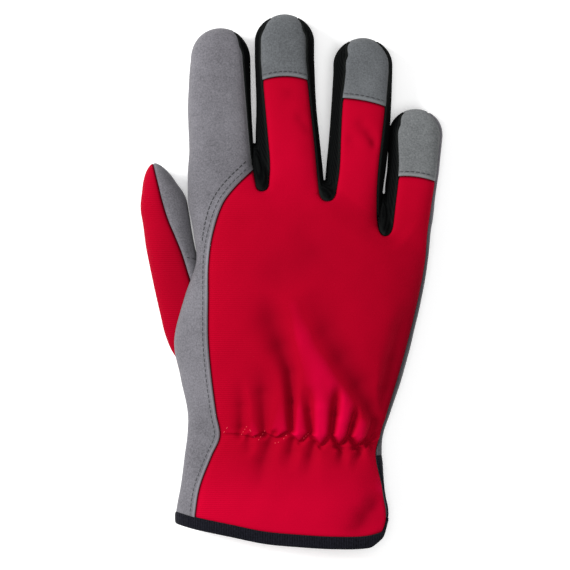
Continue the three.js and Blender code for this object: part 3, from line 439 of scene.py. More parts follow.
def finger_sides(f, starts, gaps):
    """Both sides of a finger, each in two runs that meet at its cap seam."""
    end = f.nose_y + f.nose * TIP_END
    cap = f.cap or (None, None, None)
    sides = []
    for side, start, gap, seam in ((-1, starts[0], gaps[0], cap[0]), (1, starts[1], gaps[1], cap[2])):
        if seam is None:
            sides.append((side_run(f, side, start, end, FINE["index"], gap),))
        else:
            sides.append((side_run(f, side, start, seam, FINE["root"], gap),
                          side_run(f, side, seam, end, FINE["cap"], gap)))
    return sides


rise_y = np.linspace(ROWS[-1, 0], APEX_Y, FINE["rise"] + 1)
index, middle, ring, little = fingers.values()
index_sides = finger_sides(index, (APEX_Y, APEX_Y), (None, GAPS[0]))
middle_sides = finger_sides(middle, (GAPS[0]["back"][0], GAPS[1]["back"][0]), (GAPS[0], GAPS[1]))
ring_sides = finger_sides(ring, (GAPS[1]["back"][0], GAPS[2]["back"][0]), (GAPS[1], GAPS[2]))
little_sides = finger_sides(little, (GAPS[2]["back"][0], ROWS[-1, 1]), (GAPS[2], None))

index_left = chain(edge(-1, rise_y), start_at(index_sides[0][0], rung(edge(-1, rise_y), -1)))
index_left = start_at(index_left, rung(radial, -1))
little_sides[1] = (start_at(little_sides[1][0], rung(ulnar, -1)), little_sides[1][1])
apex_run = shaft(index, 1, np.linspace(APEX_Y, GAPS[0]["back"][0], FINE["rise"] + 1), GAPS[0])
turns = [
    chain(apex_run, turn(GAPS[0], rung(apex_run, -1), rung(middle_sides[0][0], 0), FINE["turn"])),
    turn(GAPS[1], rung(middle_sides[1][0], 0), rung(ring_sides[0][0], 0), FINE["turn"]),
    turn(GAPS[2], rung(ring_sides[1][0], 0), rung(little_sides[0][0], 0), FINE["turn"]),
]
print("rungs round the gaps:", [len(run.mid) for run in turns])

# %% [markdown]
# ## Panels and side walls
#
# A panel fills four edges: each inner point takes the left-right mix plus the bottom-top mix, less the
# mix of the four corners, which is a Coons patch. Near the fingers the edges are wavy, so the inner
# points are evened out by moving each to the mean of its neighbours. A side wall is rounded from the back
# seam out to the outline and in again to the palm seam, as the quarter of a superellipse on each side.

# %% Panel between four edges
EVEN_ROUNDS, EVEN_ALL_ROUNDS = 600, 60


def run_along(points):
    """Distance from the start of a line of points to each of them."""
    return np.concatenate([[0], np.cumsum(np.linalg.norm(np.diff(points, axis=0), axis=1))])


def shares(line):
    """How far along its line each point lies, from 0 to 1."""
    run = run_along(line)
    return run / run[-1]


def panel(left, right, bottom, top, palm=False, even_from=None):
    """Coons patch between four edges in plan, laid on the back or the palm sheet."""
    u = ((shares(bottom) + shares(top)) / 2)[None, :, None]
    v = ((shares(left) + shares(right)) / 2)[:, None, None]
    corners = (1 - v) * ((1 - u) * left[0] + u * right[0]) + v * ((1 - u) * left[-1] + u * right[-1])
    plan = mix(left[:, None], right[:, None], u) + mix(bottom[None], top[None], v) - corners
    if even_from is not None:
        for part, rounds in ((plan[even_from - 1:], EVEN_ROUNDS), (plan, EVEN_ALL_ROUNDS)):
            for _ in range(rounds):
                part[1:-1, 1:-1] = (part[:-2, 1:-1] + part[2:, 1:-1] + part[1:-1, :-2] + part[1:-1, 2:]) / 4
    x, y = plan[..., 0], plan[..., 1]
    return np.dstack([x, y, (palm_height if palm else back_height)(x, y)])


print("seam on the little finger's side:", round(run_along(ulnar.back)[-1]), "mm")


# %% Side wall
def side_wall(run):
    """A row of points for each rung, from the back seam down to the outline and on to the palm seam, both
    times along a part of a superellipse."""
    def quarter(seam, share, power, seam_z, t):
        r = np.cos(np.arccos(share ** (power / 2))[:, None] * t) ** (2 / power)
        out = ((1 - r) / (1 - share)[:, None])[..., None]
        up = (np.maximum(1 - r ** power, 0) / (1 - share ** power)[:, None]) ** (1 / power)
        plan = mix(run.outline[:, None], seam[:, None], out)
        return np.dstack([plan, mix(run.mid[:, None], seam_z[:, None], up)])

    t = np.linspace(0, 1, FINE["wall"] + 1)[None]
    back = quarter(run.back, run.back_share, TOP_ROUND, back_height(*run.back.T), t[:, ::-1])
    palm = quarter(run.palm, run.palm_share, PALM_ROUND, palm_height(*run.palm.T), t)
    return np.concatenate([back, palm[:, 1:]], axis=1)


print("points down a side wall:", 2 * FINE["wall"] + 1)


# %% Edges that close a panel
def straight(a, b, count):
    """Points on the straight line from a to b, both included, in so many equal steps."""
    t = np.linspace(0, 1, count + 1)[:, None]
    return mix(np.asarray(a)[None], np.asarray(b)[None], t)


def bowed(a, b, centre_y, count):
    """A straight run bent through a height at its middle, as the seam of a fingertip cap is."""
    t = np.linspace(0, 1, count + 1)
    points = straight(a, b, count)
    points[:, 1] += 4 * t * (1 - t) * (centre_y - (a[1] + b[1]) / 2)
    return points


def cuff_run(a, b, count):
    """Points along the cuff's edge between two distances across the glove."""
    x = np.linspace(a, b, count + 1)
    return np.stack([x, cuff_y(x)], -1)


def tip_run(f, count):
    """Rungs round a fingertip, from its left end to its right."""
    return tip(f, np.linspace(np.pi - TIP_END, TIP_END, count + 1))


cap_fingers = ((middle, middle_sides), (ring, ring_sides), (little, little_sides))
cap_ends = {f.name: (left[0].back[-1], right[0].back[-1], f.cap[1]) for f, (left, right) in cap_fingers}
print("fingertip caps start at", {name: ends[2] for name, ends in cap_ends.items()}, "mm")

# %% Lay out the leather beside the thumb and up the index finger
cloth = {}  # piece name: list of (grid, turned over)
VENT_RISE, VENT_ACROSS, VENT_ALONG = 7.0, (42.2, 45.9), (92, 114)


def corner_rounded(points):
    """Draws the cuff up where the side vent opens beside the little finger."""
    x, y = points[..., 0], points[..., 1]
    lift = VENT_RISE * smooth(x, *VENT_ACROSS) ** 2 * smooth(-y, *VENT_ALONG)
    return points + lift[..., None] * np.array([0, 1.0, 0])


def lay(name, grid, over=False):
    """Adds a grid to a piece. A grid whose faces would look inwards is marked to be turned over."""
    grid = corner_rounded(grid)
    cloth.setdefault(name, []).append((grid, over))
    return grid


saddle = up_hand(-1, hand.saddle)
saddle_end = np.stack([hand.saddle(rise_y), rise_y], -1)
index_root = straight(radial.back[-1], saddle[-1], FINE["strip"])
strip_cuff = cuff_run(radial.back[0, 0], saddle[0, 0], FINE["strip"])
strip_grid = lay("palm_panel", panel(radial.back, saddle, strip_cuff, index_root))
index_right = join(saddle_end, index_sides[1][0].back)
lay("palm_panel", panel(index_left.back, index_right, index_root, tip_run(index, FINE["strip"]).back))
print("leather grids:", len(cloth["palm_panel"]))

# %% Lay out the red back and the fingertip caps
WAVY_ROW = 12  # from this row up the roots of the fingers make the panels wavy
even_from = int(np.searchsorted(row_at, WAVY_ROW))
roots = {}
for f, (left, right) in cap_fingers:
    roots[f.name] = straight(left[0].back[0], right[0].back[0], FINE["across"])
    seam = bowed(*cap_ends[f.name], FINE["across"])
    lay("back_panel", panel(left[0].back, right[0].back, roots[f.name], seam))
    lay(f"{f.name}_fingertip_cap", panel(left[1].back, right[1].back, seam, tip_run(f, FINE["across"]).back))
    lay(f"{f.name}_fingertip_cap", side_wall(tip_run(f, FINE["across"])), True)
back_top = join(saddle_end, turns[0].back, roots["middle"], turns[1].back, roots["ring"], turns[2].back,
                roots["little"])
back_cuff = cuff_run(saddle[0, 0], ulnar.back[0, 0], len(back_top) - 1)
back_grid = lay("back_panel", panel(saddle, ulnar.back, back_cuff, back_top, even_from=even_from))
print("the back's own grid:", back_grid.shape[:2])

# %% Lay out the underside
palm_roots = {}


def both_runs(sides):
    """The palm seams up a finger's two sides, each joined out of its two runs."""
    return (join(low.palm, high.palm) for low, high in sides)


for f, left, right, count in (
    (index, index_left.palm, join(apex_run.palm[::-1], index_sides[1][0].palm), FINE["strip"]),
    *((f, *both_runs(sides), FINE["across"]) for f, sides in cap_fingers),
):
    palm_roots[f.name] = straight(left[0], right[0], count)
    lay("palm_panel", panel(left, right, palm_roots[f.name], tip_run(f, count).palm, palm=True), True)
palm_top = join(palm_roots["index"], turns[0].palm[FINE["rise"]:], palm_roots["middle"], turns[1].palm,
                palm_roots["ring"], turns[2].palm, palm_roots["little"])
palm_cuff = cuff_run(radial.palm[0, 0], ulnar.palm[0, 0], len(palm_top) - 1)
palm_plan = panel(radial.palm, ulnar.palm, palm_cuff, palm_top, palm=True, even_from=even_from)
palm_grid = lay("palm_panel", palm_plan, True)
print("the palm's own grid:", palm_grid.shape[:2])

# %% Lay out the side walls and the strips between the fingers
radial_grid = lay("palm_panel", side_wall(radial), True)
lay("palm_panel", side_wall(index_left), True)
lay("palm_panel", side_wall(tip_run(index, FINE["strip"])), True)
lay("palm_panel", side_wall(turned(chain(*little_sides[1]))), True)
ulnar_grid = lay("palm_panel", side_wall(turned(ulnar)), True)
arms = [(index_sides[1], middle_sides[0]), (middle_sides[1], ring_sides[0]), (ring_sides[1], little_sides[0])]
STRIPS = ("index_middle_strip", "middle_ring_strip", "ring_little_strip")
for name, (down, up), bottom in zip(STRIPS, arms, turns):
    lay(name, side_wall(chain(turned(chain(*down)), bottom, chain(*up))), True)
print({name: sum(g.shape[0] * g.shape[1] for g, _ in grids) for name, grids in cloth.items()})

# %% [markdown]
# ## From a grid to padded cloth
#
# Sewn cloth is never flush at its seam: the thread pulls the edge down and the padding rolls it over. So
# each piece's points are welded, every point finds its distance to the piece's own edge, and the surface
# sinks along its normal as a quarter circle over the last millimetres. A second layer one wall further in
# and a rim between the two close the piece, which Solidify could also do, but here the two layers stay
# numbered alike.

# %% Weld the grids of a piece
WELD_CELLS, WELD_SHIFT = 73.13, 0.3391  # cells in a millimetre, moved off the round numbers of the tables


def quads_of(n):
    """Quads between neighbours in a grid of point numbers, or in each grid of a stack."""
    return np.stack([n[..., :-1, :-1], n[..., :-1, 1:], n[..., 1:, 1:], n[..., 1:, :-1]], -1).reshape(-1, 4)


def closed(n):
    """A grid of point numbers whose rows go round, with the first column put again after the last."""
    return np.concatenate([n, n[..., :1]], axis=-1)


def weld(grids):
    """One list of points and quads out of several grids, with points that coincide made one."""
    points = np.concatenate([g.reshape(-1, 3) for g, _ in grids])
    quads, start = [], 0
    for g, over in grids:
        q = quads_of(start + np.arange(g[..., 0].size).reshape(g.shape[:2]))
        quads.append(q[:, ::-1] if over else q)
        start += g[..., 0].size
    cell = np.round(points * WELD_CELLS + WELD_SHIFT)
    _, first, where = np.unique(cell, axis=0, return_index=True, return_inverse=True)
    return points[first], where.reshape(-1)[np.concatenate(quads)]


welded = {name: weld(grids) for name, grids in cloth.items()}
print("points after welding:", {name: len(points) for name, (points, _) in welded.items()})


# %% Normals, open edges and distance to the seam
def normals_of(points, quads):
    """Mean of the faces round each point, weighted by their area."""
    a, b, c, d = (points[quads[:, k]] for k in range(4))
    face = np.cross(c - a, d - b)
    total = np.zeros_like(points)
    for k in range(4):
        np.add.at(total, quads[:, k], face)
    return total / np.maximum(np.linalg.norm(total, axis=1, keepdims=True), 1e-9)


def open_edges(quads):
    """Directed edges that only one quad uses."""
    edges = np.concatenate([quads[:, [k, (k + 1) % 4]] for k in range(4)])
    size = quads.max() + 1
    code, back = edges[:, 0] * size + edges[:, 1], edges[:, 1] * size + edges[:, 0]
    return edges[~np.isin(code, back)]


BLOCK = 1200  # points at a time, to keep the arrays small


def distance_to(points, starts, ends):
    """Distance from each point to the nearest of many short segments, and which one, a block of points at a
    time."""
    starts, way = starts.astype(np.float32), (ends - starts).astype(np.float32)
    length = np.maximum((way ** 2).sum(-1), 1e-9)
    far, nearest = [], []
    for block in np.array_split(points.astype(np.float32), max(1, len(points) // BLOCK)):
        off = block[:, None] - starts[None]
        t = np.clip((off * way[None]).sum(-1) / length, 0, 1)
        gap = ((off - way[None] * t[..., None]) ** 2).sum(-1)
        found = gap.argmin(1)
        nearest.append(found)
        far.append(np.sqrt(gap[np.arange(len(block)), found]))
    return np.concatenate(far), np.concatenate(nearest)


def rolled(distance, radius, depth):
    """How far the edge of padded cloth sinks at a distance from its seam: a quarter circle."""
    t = 1 - np.clip(distance / radius, 0, 1)
    return depth * (1 - np.sqrt(1 - t * t))


print("open edges:", {name: len(open_edges(quads)) for name, (_, quads) in welded.items()})


# %% Soft unevenness of stuffed cloth
def ripple(points, size, seed):
    """The sum of seven slow waves with random directions, lengths and starts, about between -1 and 1."""
    rng = np.random.default_rng(seed)
    total = np.zeros(len(points))
    for _ in range(7):
        way = rng.normal(size=3)
        way *= 2 * np.pi / (size * rng.uniform(0.7, 1.6) * np.linalg.norm(way))
        total += np.sin(points @ way + rng.uniform(0, 2 * np.pi))
    return total / 4


print("ripple at the middle:", ripple(np.zeros((1, 3)), 34, 3).round(2))

# %% [markdown]
# ## Folds of the gathered wrist
#
# Elastic shortens a line across the back of the wrist, so the cloth above it stands in lobes that hang
# over the line, and the cloth below it starts in small folds of its own. A cloth simulation would put
# folds somewhere, but not in these places. So each valley is a line of points with a depth and a width,
# as a sculptor would draw it, and the cloth sinks by its distance from the nearest one.

# %% Valleys of the cloth: x, y, depth and half width down each
VALLEYS = [
    [(-17.3, -1, 0, 9), (-11.8, -18, 1.3, 7), (-6.4, -30, 1.8, 5), (-1.8, -42, 1.9, 3.1),
     (-0.6, -56, 2.3, 2.0), (-0.4, -69, 2.2, 1.7)],
    [(2, 0, 0, 10), (13, -24, 1.4, 8), (21, -36, 1.8, 7), (29.6, -48.5, 1.9, 6.0), (35.4, -58.6, 1.7, 4.6),
     (38.6, -66, 2.0, 3.2), (35.6, -73.6, 2.4, 2.2)],
    [(-25.5, -44, 0, 4), (-24.2, -58, 0.9, 3.2), (-24, -68, 1.1, 2.6), (-24.6, -71.6, 0.8, 2)],
    [(-16.2, -38, 0, 6), (-14.7, -52, 1.3, 4.2), (-13.2, -70.5, 1.8, 2.6)],
    [(6.8, -48, 0, 4), (7.8, -60, 1.4, 2.0), (8.6, -70, 2.1, 1.7)],
    [(21.0, -46, 0, 3.5), (20.2, -55, 1.5, 2.1), (19.5, -62, 2.4, 1.7), (18.4, -70.5, 2.5, 1.5)],
    [(30.6, -55, 0, 3), (29.2, -62.5, 1.8, 1.9), (27.8, -67.5, 2.5, 1.6), (26.5, -72, 2.3, 1.4)],
    [(-9.0, -70.8, 1.1, 2.2), (-11.2, -76, 1.1, 3.0), (-14.4, -84, 1.0, 4.0), (-17.5, -98, 0, 5)],
    [(0.4, -73.6, 1.1, 1.8), (-0.8, -79, 0.9, 2.8), (-4, -88, 0, 4.2)],
    [(-20.2, -72, 0.8, 1.8), (-20.8, -77, 0.5, 2.8), (-22.2, -83, 0, 4)],
    [(10.4, -75, 1.1, 1.8), (8.6, -81, 0.9, 2.8), (5.2, -92, 0, 4.4)],
    [(21.0, -76.4, 1.9, 1.3), (23.4, -78.0, 1.8, 1.2), (22.6, -82, 0.8, 2.6), (20.6, -89, 0, 4.4)],
    [(29.4, -77.2, 1.9, 1.3), (32.4, -78.0, 1.9, 1.2), (29.6, -84, 0.5, 3.2), (28, -90, 0, 4.4)],
    [(35.4, -76.2, 2.1, 1.3), (39.2, -72.2, 2.1, 1.4), (42.8, -68.2, 1.6, 1.8), (44, -64, 0, 2.5)],
    [(38.2, -77.5, 1.6, 1.8), (40.2, -82, 0.5, 2.6), (41, -86, 0, 3)],
    [(42.0, -100, 0.3, 3.4), (37.2, -104.5, 1.2, 4.2), (32.4, -111, 1.3, 5.4), (29, -117, 1.0, 5.4)],
    [(55, -8, 0, 5), (49.2, -22, 0.8, 3.6), (46.0, -36, 1.3, 3.4), (43.0, -50, 1.4, 3.2),
     (41.5, -60, 0.9, 3)],
    [(28, 76, 0, 4), (31.6, 73.4, 0.35, 2.8), (35.4, 69, 0.6, 2.2), (38.6, 64.5, 0.95, 2.0),
     (40, 61.5, 0, 2.6)],
    [(-7, 87.5, 0, 4), (-1, 87.5, 0.3, 2.6), (6, 86, 0.2, 2.6), (9, 85, 0, 3)],
    [(0, 80, 0, 3), (3.5, 76, 0.35, 2.4), (7.5, 70.5, 0.3, 2.2), (9, 67, 0, 3)],
    [(24, 71, 0, 3), (27, 66, 0.3, 2.4), (31, 62, 0, 3)],
    [(-24, 6, 0, 12), (-11, 5, 0.7, 12), (6, 13, 0.7, 12), (28, 16, 0, 14)],
]
LOBES = [  # crests of the full cloth between the valleys, as x, y, height and half width
    [(-6, 0, 0, 12), (0, -12, 0.5, 9), (7.5, -26, 1.0, 8.5), (15.5, -40, 1.1, 7.5), (24, -54, 1.0, 6.5),
     (29, -66, 0.7, 5)],
    [(8, -32, 0, 5), (12.6, -45, 0.8, 4.6), (13.9, -58, 1.15, 3.8), (13.6, -71, 1.1, 2.8)],
    [(25.6, -45, 0, 3.4), (24.6, -54, 1.0, 3.4), (23.4, -64, 1.2, 2.9), (22.4, -72, 0.9, 2.4)],
    [(3.8, -50, 0, 3), (3.2, -60, 0.6, 2.6), (2.6, -70, 0.8, 2.2)],
    [(35, -58, 0, 3), (34, -65, 0.5, 2.8), (32.4, -72, 0.6, 2.2)],
    [(41, -88, 0, 3), (42.4, -97, 0.9, 2.8), (43.4, -105, 0.6, 2.6), (43.4, -112, 0, 3)],
]
LAP = np.array([  # the line where the upper cloth hangs over the lower, with its depth
    (-34, -71.0, 0), (-24.6, -70.9, 0.2), (-17.4, -72.6, 0.4), (-12.9, -70.4, 0.7), (-6.6, -72.8, 0.8),
    (-1.0, -69.6, 0.9), (4.2, -74.8, 0.8), (8.6, -70.2, 1.2), (14.2, -76.7, 1.2), (18.7, -70.8, 1.7),
    (23.2, -76.7, 2.2), (27.0, -71.9, 2.0), (31.8, -76.9, 2.1), (35.4, -73.4, 2.0), (38.6, -76.0, 1.6),
    (44.0, -72.5, 0.8)])
SHADED_WALL = 0.5  # a valley looks darkest on the wall turned from the window, so many widths off its bottom
print("valleys:", len(VALLEYS), "crests:", len(LOBES))


# %% Bells of the distance from drawn lines
def lines_to_segments(lines, shift):
    """Starts and ends of every piece of every line, each with its depth and half width."""
    lines = [np.array(line, float) for line in lines]
    for line in lines:
        line[:, 0] += shift * line[:, 3]
    return np.concatenate([line[:-1] for line in lines]), np.concatenate([line[1:] for line in lines])


def bells(x, y, lines, sharp, shift):
    """Depth under drawn lines: each segment's depth times a bell of the distance over its width, the
    deepest one winning softly, as the fourth root of the sum of fourth powers."""
    a, b = lines_to_segments(lines, shift)
    point = np.stack([x, y], -1)[:, None]
    way = b[:, :2] - a[:, :2]
    t = np.clip(((point - a[:, :2]) * way).sum(-1) / (way ** 2).sum(-1), 0, 1)
    gap = np.linalg.norm(point - a[:, :2] - way * t[..., None], axis=-1)
    depth, width = mix(a[:, 2], b[:, 2], t), mix(a[:, 3], b[:, 3], t)
    return ((depth * np.exp(-(gap / width) ** sharp)) ** 4).sum(-1) ** 0.25


VALLEY_GAIN, VALLEY_SHARP = 1.8, 1.7
CREASE_GAIN, CREASE_SHARP, CREASE_WIDTH, CREASE_SHIFT = 1.53, 1.4, 1.35, 0.75


def hollows(x, y):
    """Depth of the valleys and of the crease under the lap, whichever is deeper."""
    crease_line = np.column_stack([LAP, np.full(len(LAP), CREASE_WIDTH)])
    crease = CREASE_GAIN * bells(x + CREASE_SHIFT, y, [crease_line], CREASE_SHARP, SHADED_WALL)
    return np.maximum(VALLEY_GAIN * bells(x, y, VALLEYS, VALLEY_SHARP, SHADED_WALL), crease)


def crests(x, y):
    """Height of the lobes: bells of the distance from their crests, the highest one winning."""
    return bells(x, y, LOBES, 2.0, 0)


print("depth of a valley at the wrist:", hollows(np.array([18.4]), np.array([-70.5])).round(1), "mm")


# %% Folds and the shade of the side
FULLER = (-40, -5)  # the cloth grows full between these distances across the glove
LOBE, BELOW = (0.15, 2.0), (0.3, 0.8)  # height of the cloth over and under the lap, where lean and where full
LOBE_RISE, BELOW_RISE = (-0.5, 0.9), (0, 3)  # distances from the lap between which that height is reached
LOBE_FADE, BELOW_FADE, CREST_GAIN = 11, 7, 0.45


def fold_height(x, y):
    """Valleys, the lap of the upper cloth over the lower, and the fullness of the lobes between. Both parts
    of the lap start at its line and fade with the distance from it, and both grow towards the little
    finger."""
    over = y - np.interp(x, LAP[:, 0], LAP[:, 1])
    full = smooth(x, *FULLER)
    lobes = mix(*LOBE, full) * smooth(over, *LOBE_RISE) * np.exp(-np.maximum(over, 0) / LOBE_FADE)
    below = mix(*BELOW, full) * smooth(-over, *BELOW_RISE) * np.exp(-np.maximum(-over, 0) / BELOW_FADE)
    return lobes + below + CREST_GAIN * crests(x, y) - hollows(x, y)


SIDE_SHADES = ((4.0, 4.5), (3.5, 1.3))  # a wide and a narrow shade: strength at the seam, and fading distance
SHADE_IN, SHADE_OUT = (-72, -58), (-10, 25)  # where up the glove they come in and go out


def side_shade(x, y):
    """Painted shade that falls away from the seam by the little finger, where the cloth turns down, above the
    elastic.
    """
    inside = np.maximum(hand.seam(y) - x, 0)
    shade = sum(strength * np.exp(-inside / fading) for strength, fading in SIDE_SHADES)
    return shade * smooth(y, *SHADE_IN) * (1 - smooth(y, *SHADE_OUT))


print("fold beside the elastic:", fold_height(np.array([25.0]), np.array([-72.0])).round(1), "mm")

# %% Meshes and their attributes
WALL = 2.0
FLOAT_GAP, LINING_GAP = 0.02, 0.06  # lowest heights of the outer and the inner layer over the table


def mesh_object(name, points, faces):
    """A Blender object at the origin from points in millimetres and a list or array of faces."""
    mesh = bpy.data.meshes.new(name)
    mesh.from_pydata((points * MM).tolist(), [], faces.tolist() if hasattr(faces, "tolist") else faces)
    mesh.update()
    mesh.shade_smooth()
    obj = bpy.data.objects.new(name, mesh)
    bpy.context.scene.collection.objects.link(obj)
    return obj


def set_attribute(obj, name, values):
    """Keeps one number for each point, for a material to read."""
    data = obj.data.attributes.new(name, "FLOAT", "POINT").data
    data.foreach_set("value", np.asarray(values, np.float32))


def sheet(name, outer, inner, quads):
    """A closed mesh: an outer layer, an inner one turned over, and a rim along the open edges."""
    edges, n = open_edges(quads), len(outer)
    rim = np.stack([edges[:, 1], edges[:, 0], edges[:, 0] + n, edges[:, 1] + n], -1)
    return mesh_object(name, np.concatenate([outer, inner]), np.concatenate([quads, quads[:, ::-1] + n, rim]))


print("wall:", WALL, "mm")

# %% Evening and lapping
HELD = 1.5  # the smoothing fades out over this distance from the edge
SMOOTHING = (0.6, -0.63)
UNDERSIDE, UPPERSIDE = 4, 9  # heights between which a lap fades in
NO_SEAM = 9.0  # distance to a seam that stands for none near
PULL_WIDTH = 1.6


def evened(points, quads, distance, rounds):
    """Smooths without shrinking: each round moves a point towards the mean of its neighbours, then a little
    further back out. The edge of the piece is held."""
    pairs = np.concatenate([quads[:, [k, (k + 1) % 4]] for k in range(4)])
    pairs = np.concatenate([pairs, pairs[:, ::-1]])
    count = np.bincount(pairs[:, 0], minlength=len(points))[:, None]
    free = smooth(distance, 0, HELD)[:, None]
    for step in SMOOTHING * rounds:
        columns = points[pairs[:, 1]].T
        total = np.stack([np.bincount(pairs[:, 0], column, len(points)) for column in columns], -1)
        points = mix(points, total / count, free * step)
    return points


def lapping(points, lap, lift, reach, spread):
    """Lifts the cloth along a lapped seam and draws it across the seam, fading with the distance from the
    line. The palm, which passes under the same line, is left as it is."""
    line, out = lap
    far, nearest = distance_to(points[:, :2], line[:-1], line[1:])
    on_back = smooth(points[:, 2], UNDERSIDE, UPPERSIDE)
    near = (np.exp(-((far / spread) ** 2)) * on_back)[:, None]
    moved = points + np.array([0, 0, 1.0]) * lift * near
    moved[:, :2] += out[nearest] * reach * (np.exp(-(far / PULL_WIDTH)) * on_back)[:, None]
    return moved, mix(NO_SEAM, far, on_back)


def lap_line(line, side):
    """A line of plan points with the direction across it, to its left for 1 and to its right for -1."""
    along = np.gradient(line, axis=0)
    along /= np.linalg.norm(along, axis=1, keepdims=True)
    return line, side * np.stack([-along[:, 1], along[:, 0]], -1)


saddle_line = join(saddle, saddle_end)
saddle_lap = lap_line(saddle_line, -1)
index_lap = lap_line(index_sides[1][0].back, -1)
CAP_LINE_STEPS = 40
cap_seams = {name: bowed(*ends, CAP_LINE_STEPS) for name, ends in cap_ends.items()}
cap_laps = {name: lap_line(seam, -1) for name, seam in cap_seams.items()}
print("saddle seam:", round(run_along(saddle_line)[-1]), "mm")

# %% Sew one piece
made = {}
SHADED_SEAM = 0.6


def sew(name, radius, depth, shape=None, laps=(), rounds=2, seam_shade=False):
    """A piece of padded cloth: its outer layer rolled at the edge and shaped, an inner layer and the
    rim."""
    points, quads = welded[name]
    edges = open_edges(quads)
    distance, _ = distance_to(points, points[edges[:, 0]], points[edges[:, 1]])
    height = -rolled(distance, radius, depth)
    if shape:
        height = height + shape(points, distance)
    outer = evened(points + normals_of(points, quads) * height[:, None], quads, distance, rounds)
    lap_gap = distance + SHADED_SEAM if seam_shade else np.full(len(points), NO_SEAM)
    for lap in laps:
        outer, far = lapping(outer, **lap)
        lap_gap = np.minimum(lap_gap, far)
    outer[:, 2] = np.maximum(outer[:, 2], FLOAT_GAP)
    inner = outer - normals_of(outer, quads) * WALL
    inner[:, 2] = np.maximum(inner[:, 2], LINING_GAP)
    obj = sheet(name + "_cloth", outer, inner, quads)
    # the materials paint shade and highlights by this distance from a seam
    set_attribute(obj, "lap_gap", np.tile(lap_gap, 2))
    made[name] = SimpleNamespace(obj=obj, outer=outer, quads=quads)
    print(name, len(quads), "quads outside")


def waves(*kinds, reach):
    """A shape for a piece: slow waves, each of a height, a size and a seed, that fade out towards its
    edge."""
    def shape(points, distance):
        total = sum(height * ripple(points, size, seed) for height, size, seed in kinds)
        return total * smooth(distance, 0, reach)
    return shape


print("pieces to sew:", ", ".join(welded))


# %% Sew the red back
back_waves = waves((0.25, 34, 3), (0.12, 13, 4), reach=5)
EDGE_CALM, CREST_SHINE = 4.0, 1.1


def back_shape(points, distance):
    """The folds, which fade out towards the seam, and slow waves."""
    folds = fold_height(points[:, 0], points[:, 1]) * smooth(distance, 0.0, EDGE_CALM)
    return folds + back_waves(points, distance)


under = [dict(lap=lap, lift=-0.9, reach=0.0, spread=2.0) for lap in (saddle_lap, *cap_laps.values())]
sew("back_panel", radius=1.8, depth=0.8, shape=back_shape, laps=under)
back_plan = made["back_panel"].outer[:, :2].T
# painted shade and highlight for the red: darker in the folds and by the little finger's seam, brighter on
# the crests
shading = fold_height(*back_plan) + CREST_SHINE * crests(*back_plan) - side_shade(*back_plan)
set_attribute(made["back_panel"].obj, "fold", np.tile(shading, 2))

# %% Sew the leather and the strips between the fingers
leather_waves = waves((0.3, 38, 5), (0.10, 12, 6), reach=6)
palm_laps = [dict(lap=saddle_lap, lift=0.45, reach=0.55, spread=3.2),
             dict(lap=index_lap, lift=0.0, reach=0.35, spread=2.0)]
sew("palm_panel", radius=1.0, depth=0.5, shape=leather_waves, laps=palm_laps)
for name, lap in cap_laps.items():
    sew(f"{name}_fingertip_cap", radius=1.0, depth=0.45, shape=leather_waves,
        laps=[dict(lap=lap, lift=0.5, reach=0.55, spread=2.6)])
for name in STRIPS:
    sew(name, radius=1.5, depth=0.0, rounds=25, seam_shade=True)

# %% [markdown]
# ## Thumb
#
# The thumb is a tube under the edge of the hand. Its red outer half and its grey inner half meet in a
# seam along the top. The same section formula serves both, with the angle running over one half or the
# other.

# %% Thumb table and its sections
THUMB = np.array([
    # distance from the tip, left and right edge, seam, mid height, crown, lift
    (12, -9.9, 10.6, 0.7, 9.0, 8.8, 0.1),
    (18, -10.6, 11.5, 0.7, 9.3, 9.1, 0.1),
    (27.6, -11.0, 11.1, 1.4, 9.6, 9.3, 0.1),
    (36.6, -12.0, 10.4, 3.0, 9.8, 9.3, 0.1),
    (44.2, -12.3, 10.2, 4.2, 9.8, 9.0, 0.1),
    (56, -12.4, 11.6, 5.0, 9.6, 8.2, 0.1),
    (70.7, -12.6, 13.6, 6.0, 9.3, 7.4, 0.1),
    (80, -12.4, 14.2, 6.5, 9.2, 6.8, 0.6),
    (90, -10.4, 14.0, 7.0, 9.0, 6.2, 2.4),
    (104, -3.0, 12.0, 7.0, 9.0, 5.0, 4.5),
])
THUMB_TIP, THUMB_NOSE, THUMB_LEAN = np.array([-64.6, 55.5]), 12.0, np.radians(13.2)
THUMB_TAPER, TAPER_POWER = 22.0, 1.6
THUMB_END, THUMB_START, RING_POWER = THUMB[-1, 0], 0.02, 0.9
thumb = SimpleNamespace(**lines_of(THUMB, "left right seam mid crown lift".split()))


def thumb_middle(at):
    """Middle and half width of the thumb at distances from its tip."""
    return (thumb.left(at) + thumb.right(at)) / 2, (thumb.right(at) - thumb.left(at)) / 2


def thumb_point(d, angle):
    """Points of the thumb by distance from its tip and angle round it, as superellipse sections."""
    at = np.maximum(d, THUMB_NOSE)
    shrink = np.sqrt(1 - np.maximum(0, 1 - d / THUMB_NOSE) ** 2)
    narrow = (1 - np.maximum(0, 1 - d / THUMB_TAPER) ** TAPER_POWER) ** (1 / TAPER_POWER)
    across, up = np.cos(angle), np.sin(angle)
    power = np.where(up > 0, TOP_ROUND, PALM_ROUND)
    height = np.where(up > 0, thumb.crown(at), thumb.mid(at) - thumb.lift(at))
    middle_x, half = thumb_middle(at)
    x = middle_x + np.sign(across) * np.abs(across) ** (2 / power) * half * narrow
    z = thumb.mid(at) + np.sign(up) * np.abs(up) ** (2 / power) * height * shrink
    c, s = np.cos(THUMB_LEAN), np.sin(THUMB_LEAN)
    return np.dstack([THUMB_TIP[0] + x * c + d * s, THUMB_TIP[1] + x * s - d * c, z])


